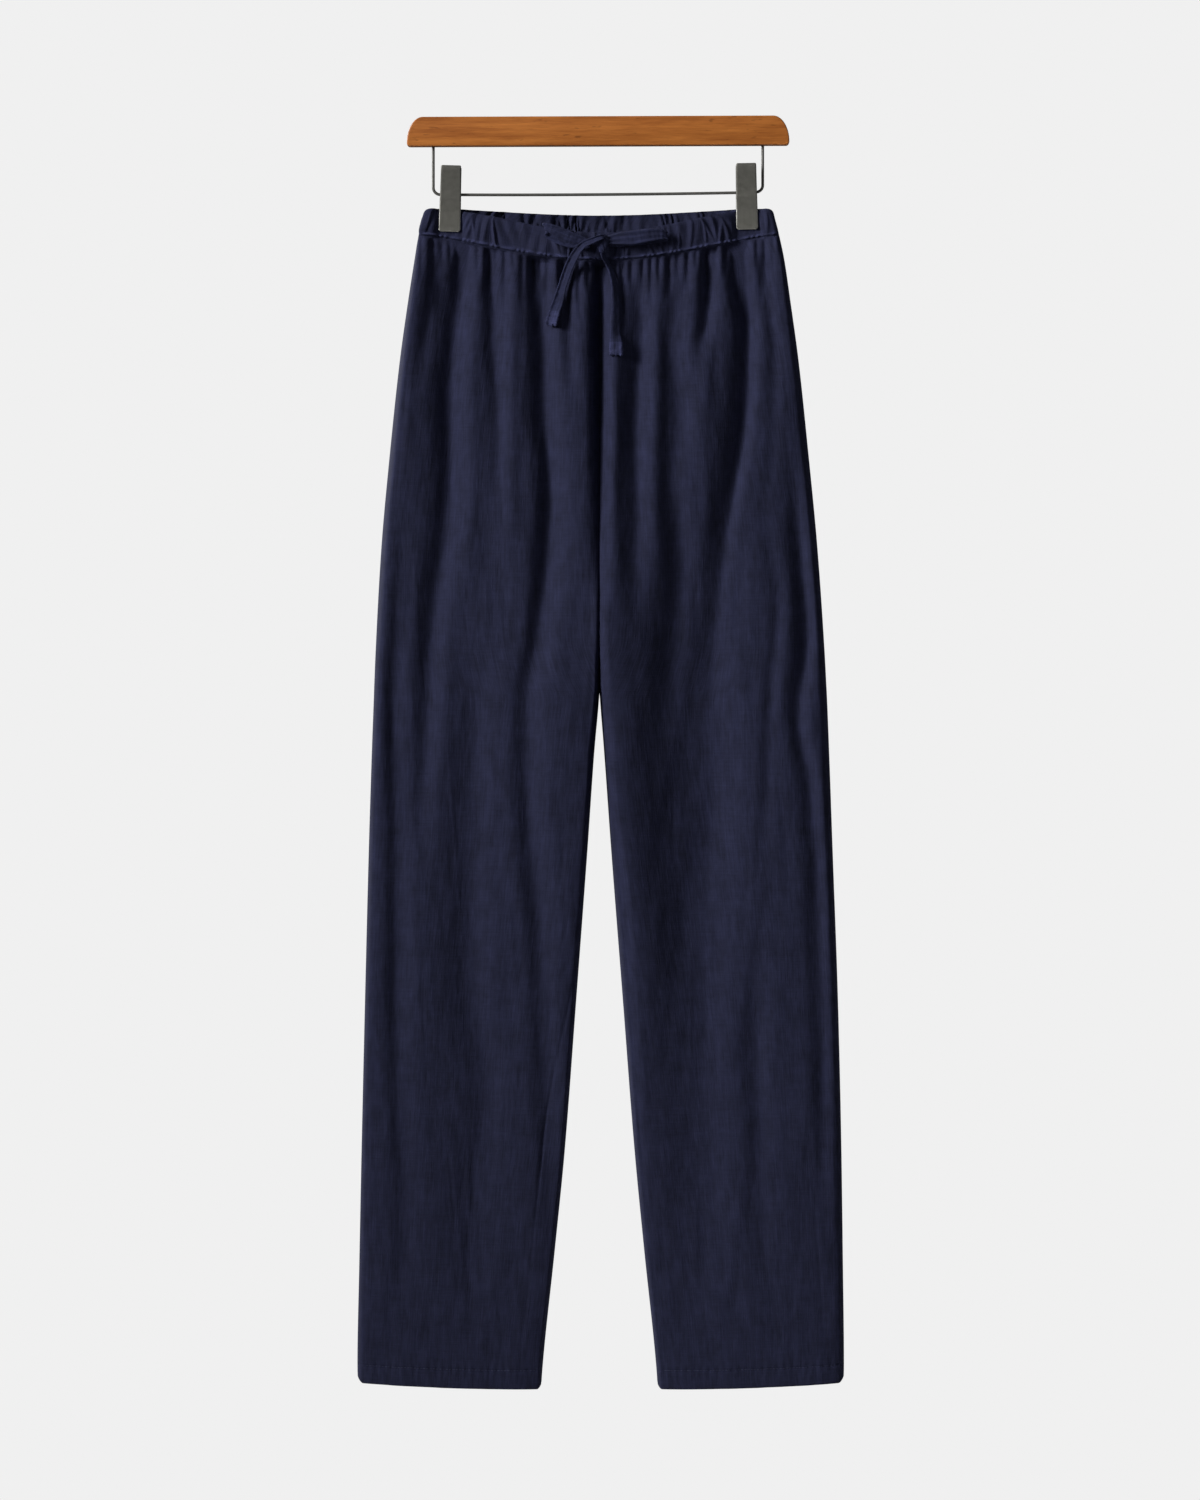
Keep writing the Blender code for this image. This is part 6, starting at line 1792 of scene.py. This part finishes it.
class TROUSERS_OT_stage(bpy.types.Operator):
    """Set the camera, soft studio lights, the pale backdrop and the floor"""
    bl_idname = "trousers.stage"
    bl_label = "Studio stage"

    def execute(self, context):
        scene = context.scene
        stage = scene.trouser_stage
        camera_data = bpy.data.cameras.new("camera")
        camera_data.lens = CAMERA_LENS
        camera = bpy.data.objects.new("camera", camera_data)
        scene.collection.objects.link(camera)
        camera.location = (CAMERA_X, -CAMERA_DISTANCE, -CAMERA_DROP)
        camera.rotation_euler = (math.pi / 2.0, 0.0, 0.0)
        scene.camera = camera
        add_light("key", stage.key_power)
        add_light("fill", stage.fill_power)
        add_light("behind", stage.back_power)
        scene.view_settings.view_transform = "Standard"
        scene.world = bpy.data.worlds.new("backdrop")
        scene.world.use_nodes = True
        tree = scene.world.node_tree
        tree.nodes.clear()
        even = add_node(tree, "ShaderNodeBackground",
                        {"Color": (1.0, 1.0, 1.0, 1.0), "Strength": stage.ambient})
        seen = add_node(tree, "ShaderNodeBackground", {"Color": linear(stage.backdrop), "Strength": 1.0})
        path = add_node(tree, "ShaderNodeLightPath")
        blend = add_node(tree, "ShaderNodeMixShader", links={0: path.outputs["Is Camera Ray"],
                                                             1: even.outputs[0], 2: seen.outputs[0]})
        add_node(tree, "ShaderNodeOutputWorld", links={"Surface": blend.outputs[0]})
        half = FLOOR_SIZE / 2.0
        corners = [(x, y, -FLOOR_DROP)
                   for x, y in ((-half, -half), (half, -half), (half, half), (-half, half))]
        floor_material, floor_tree, shader = new_material("pale_matt_floor")
        shader.inputs["Roughness"].default_value = 0.9
        place = add_node(floor_tree, "ShaderNodeTexCoord").outputs["Object"]
        grain = add_node(floor_tree, "ShaderNodeTexNoise", {"Scale": 6.0, "Detail": 3.0}, {"Vector": place})
        tint = add_node(floor_tree, "ShaderNodeMix", {"data_type": "RGBA", 6: linear(stage.floor),
                                                      7: linear(FLOOR_GRAIN)}, {0: grain.outputs["Fac"]})
        floor_tree.links.new(tint.outputs[2], shader.inputs["Base Color"])
        floor = add_mesh("floor", corners, [(0, 1, 2, 3)], floor_material)
        return {"FINISHED"}


class TROUSERS_OT_drawstring(bpy.types.Operator):
    """Tie the flat linen drawstring in a bow, with its two free ends"""
    bl_idname = "trousers.drawstring"
    bl_label = "Drawstring bow"

    def execute(self, context):
        upright = Vector((0.0, 0.0, 1.0))
        seat(make_knot(), "tape", "drawstring_knot")
        for side, route in (("left", LOOP_LEFT), ("right", LOOP_RIGHT)):
            tape, path, length = make_tape("bow_loop_" + side, route, upright)
            seat(tape, "tape", "drawstring_loop_" + side)
        for side, route in (("left", TAIL_LEFT), ("right", TAIL_RIGHT)):
            tape, path, length = make_tape("bow_tail_" + side, route, None, folded_end=TAPE_FOLD)
            seat(tape, "tape", "drawstring_tail_" + side)
        return {"FINISHED"}


class TROUSERS_OT_legs(bpy.types.Operator):
    """Hang the four linen leg panels with their folds, gathers and stitched hems"""
    bl_idname = "trousers.legs"
    bl_label = "Leg panels"

    def execute(self, context):
        for face in ("front", "back"):
            for side in ("left", "right"):
                make_panel(side, face)
        return {"FINISHED"}


class TROUSERS_OT_waistband(bpy.types.Operator):
    """Build the puckered elasticated waistband, front and back"""
    bl_idname = "trousers.waistband"
    bl_label = "Waistband"

    def execute(self, context):
        for face in ("front", "back"):
            make_band(face)
        return {"FINISHED"}


class TROUSERS_OT_hanger(bpy.types.Operator):
    """Build the wooden bar and the steel rail under it"""
    bl_idname = "trousers.hanger"
    bl_label = "Bar and rail"

    def execute(self, context):
        make_bar()
        make_rail()
        return {"FINISHED"}


class TROUSERS_OT_clips(bpy.types.Operator):
    """Put the two sprung clips on the rail"""
    bl_idname = "trousers.clips"
    bl_label = "Clips"

    def execute(self, context):
        for clip in CLIPS:
            make_clip(clip)
        return {"FINISHED"}


OPERATORS = (TROUSERS_OT_stage, TROUSERS_OT_drawstring, TROUSERS_OT_legs, TROUSERS_OT_waistband,
             TROUSERS_OT_hanger, TROUSERS_OT_clips)
SETTINGS = (("trouser_cloth", ClothSettings), ("trouser_hanger", HangerSettings),
            ("trouser_stage", StageSettings))


class TROUSERS_PT_panel(bpy.types.Panel):
    """Settings and build steps of the trousers"""
    bl_idname = "TROUSERS_PT_panel"
    bl_label = "Linen trousers"
    bl_space_type = "VIEW_3D"
    bl_region_type = "UI"
    bl_category = "Trousers"

    def draw(self, context):
        for name, group in SETTINGS:
            box = self.layout.box()
            for setting in group.__annotations__:
                box.prop(getattr(context.scene, name), setting)
        for operator in OPERATORS:
            self.layout.operator(operator.bl_idname)


CLASSES = tuple(group for _, group in SETTINGS) + OPERATORS + (TROUSERS_PT_panel,)


def register():
    for entry in CLASSES:
        bpy.utils.register_class(entry)
    for name, group in SETTINGS:
        setattr(bpy.types.Scene, name, PointerProperty(type=group))


def unregister():
    for name, _ in SETTINGS:
        delattr(bpy.types.Scene, name)
    for entry in reversed(CLASSES):
        bpy.utils.unregister_class(entry)


def main():
    register()
    bpy.ops.trousers.stage()
    bpy.ops.trousers.drawstring()
    bpy.ops.trousers.legs()
    bpy.ops.trousers.waistband()
    bpy.ops.trousers.hanger()
    bpy.ops.trousers.clips()


if __name__ == "__main__":
    main()
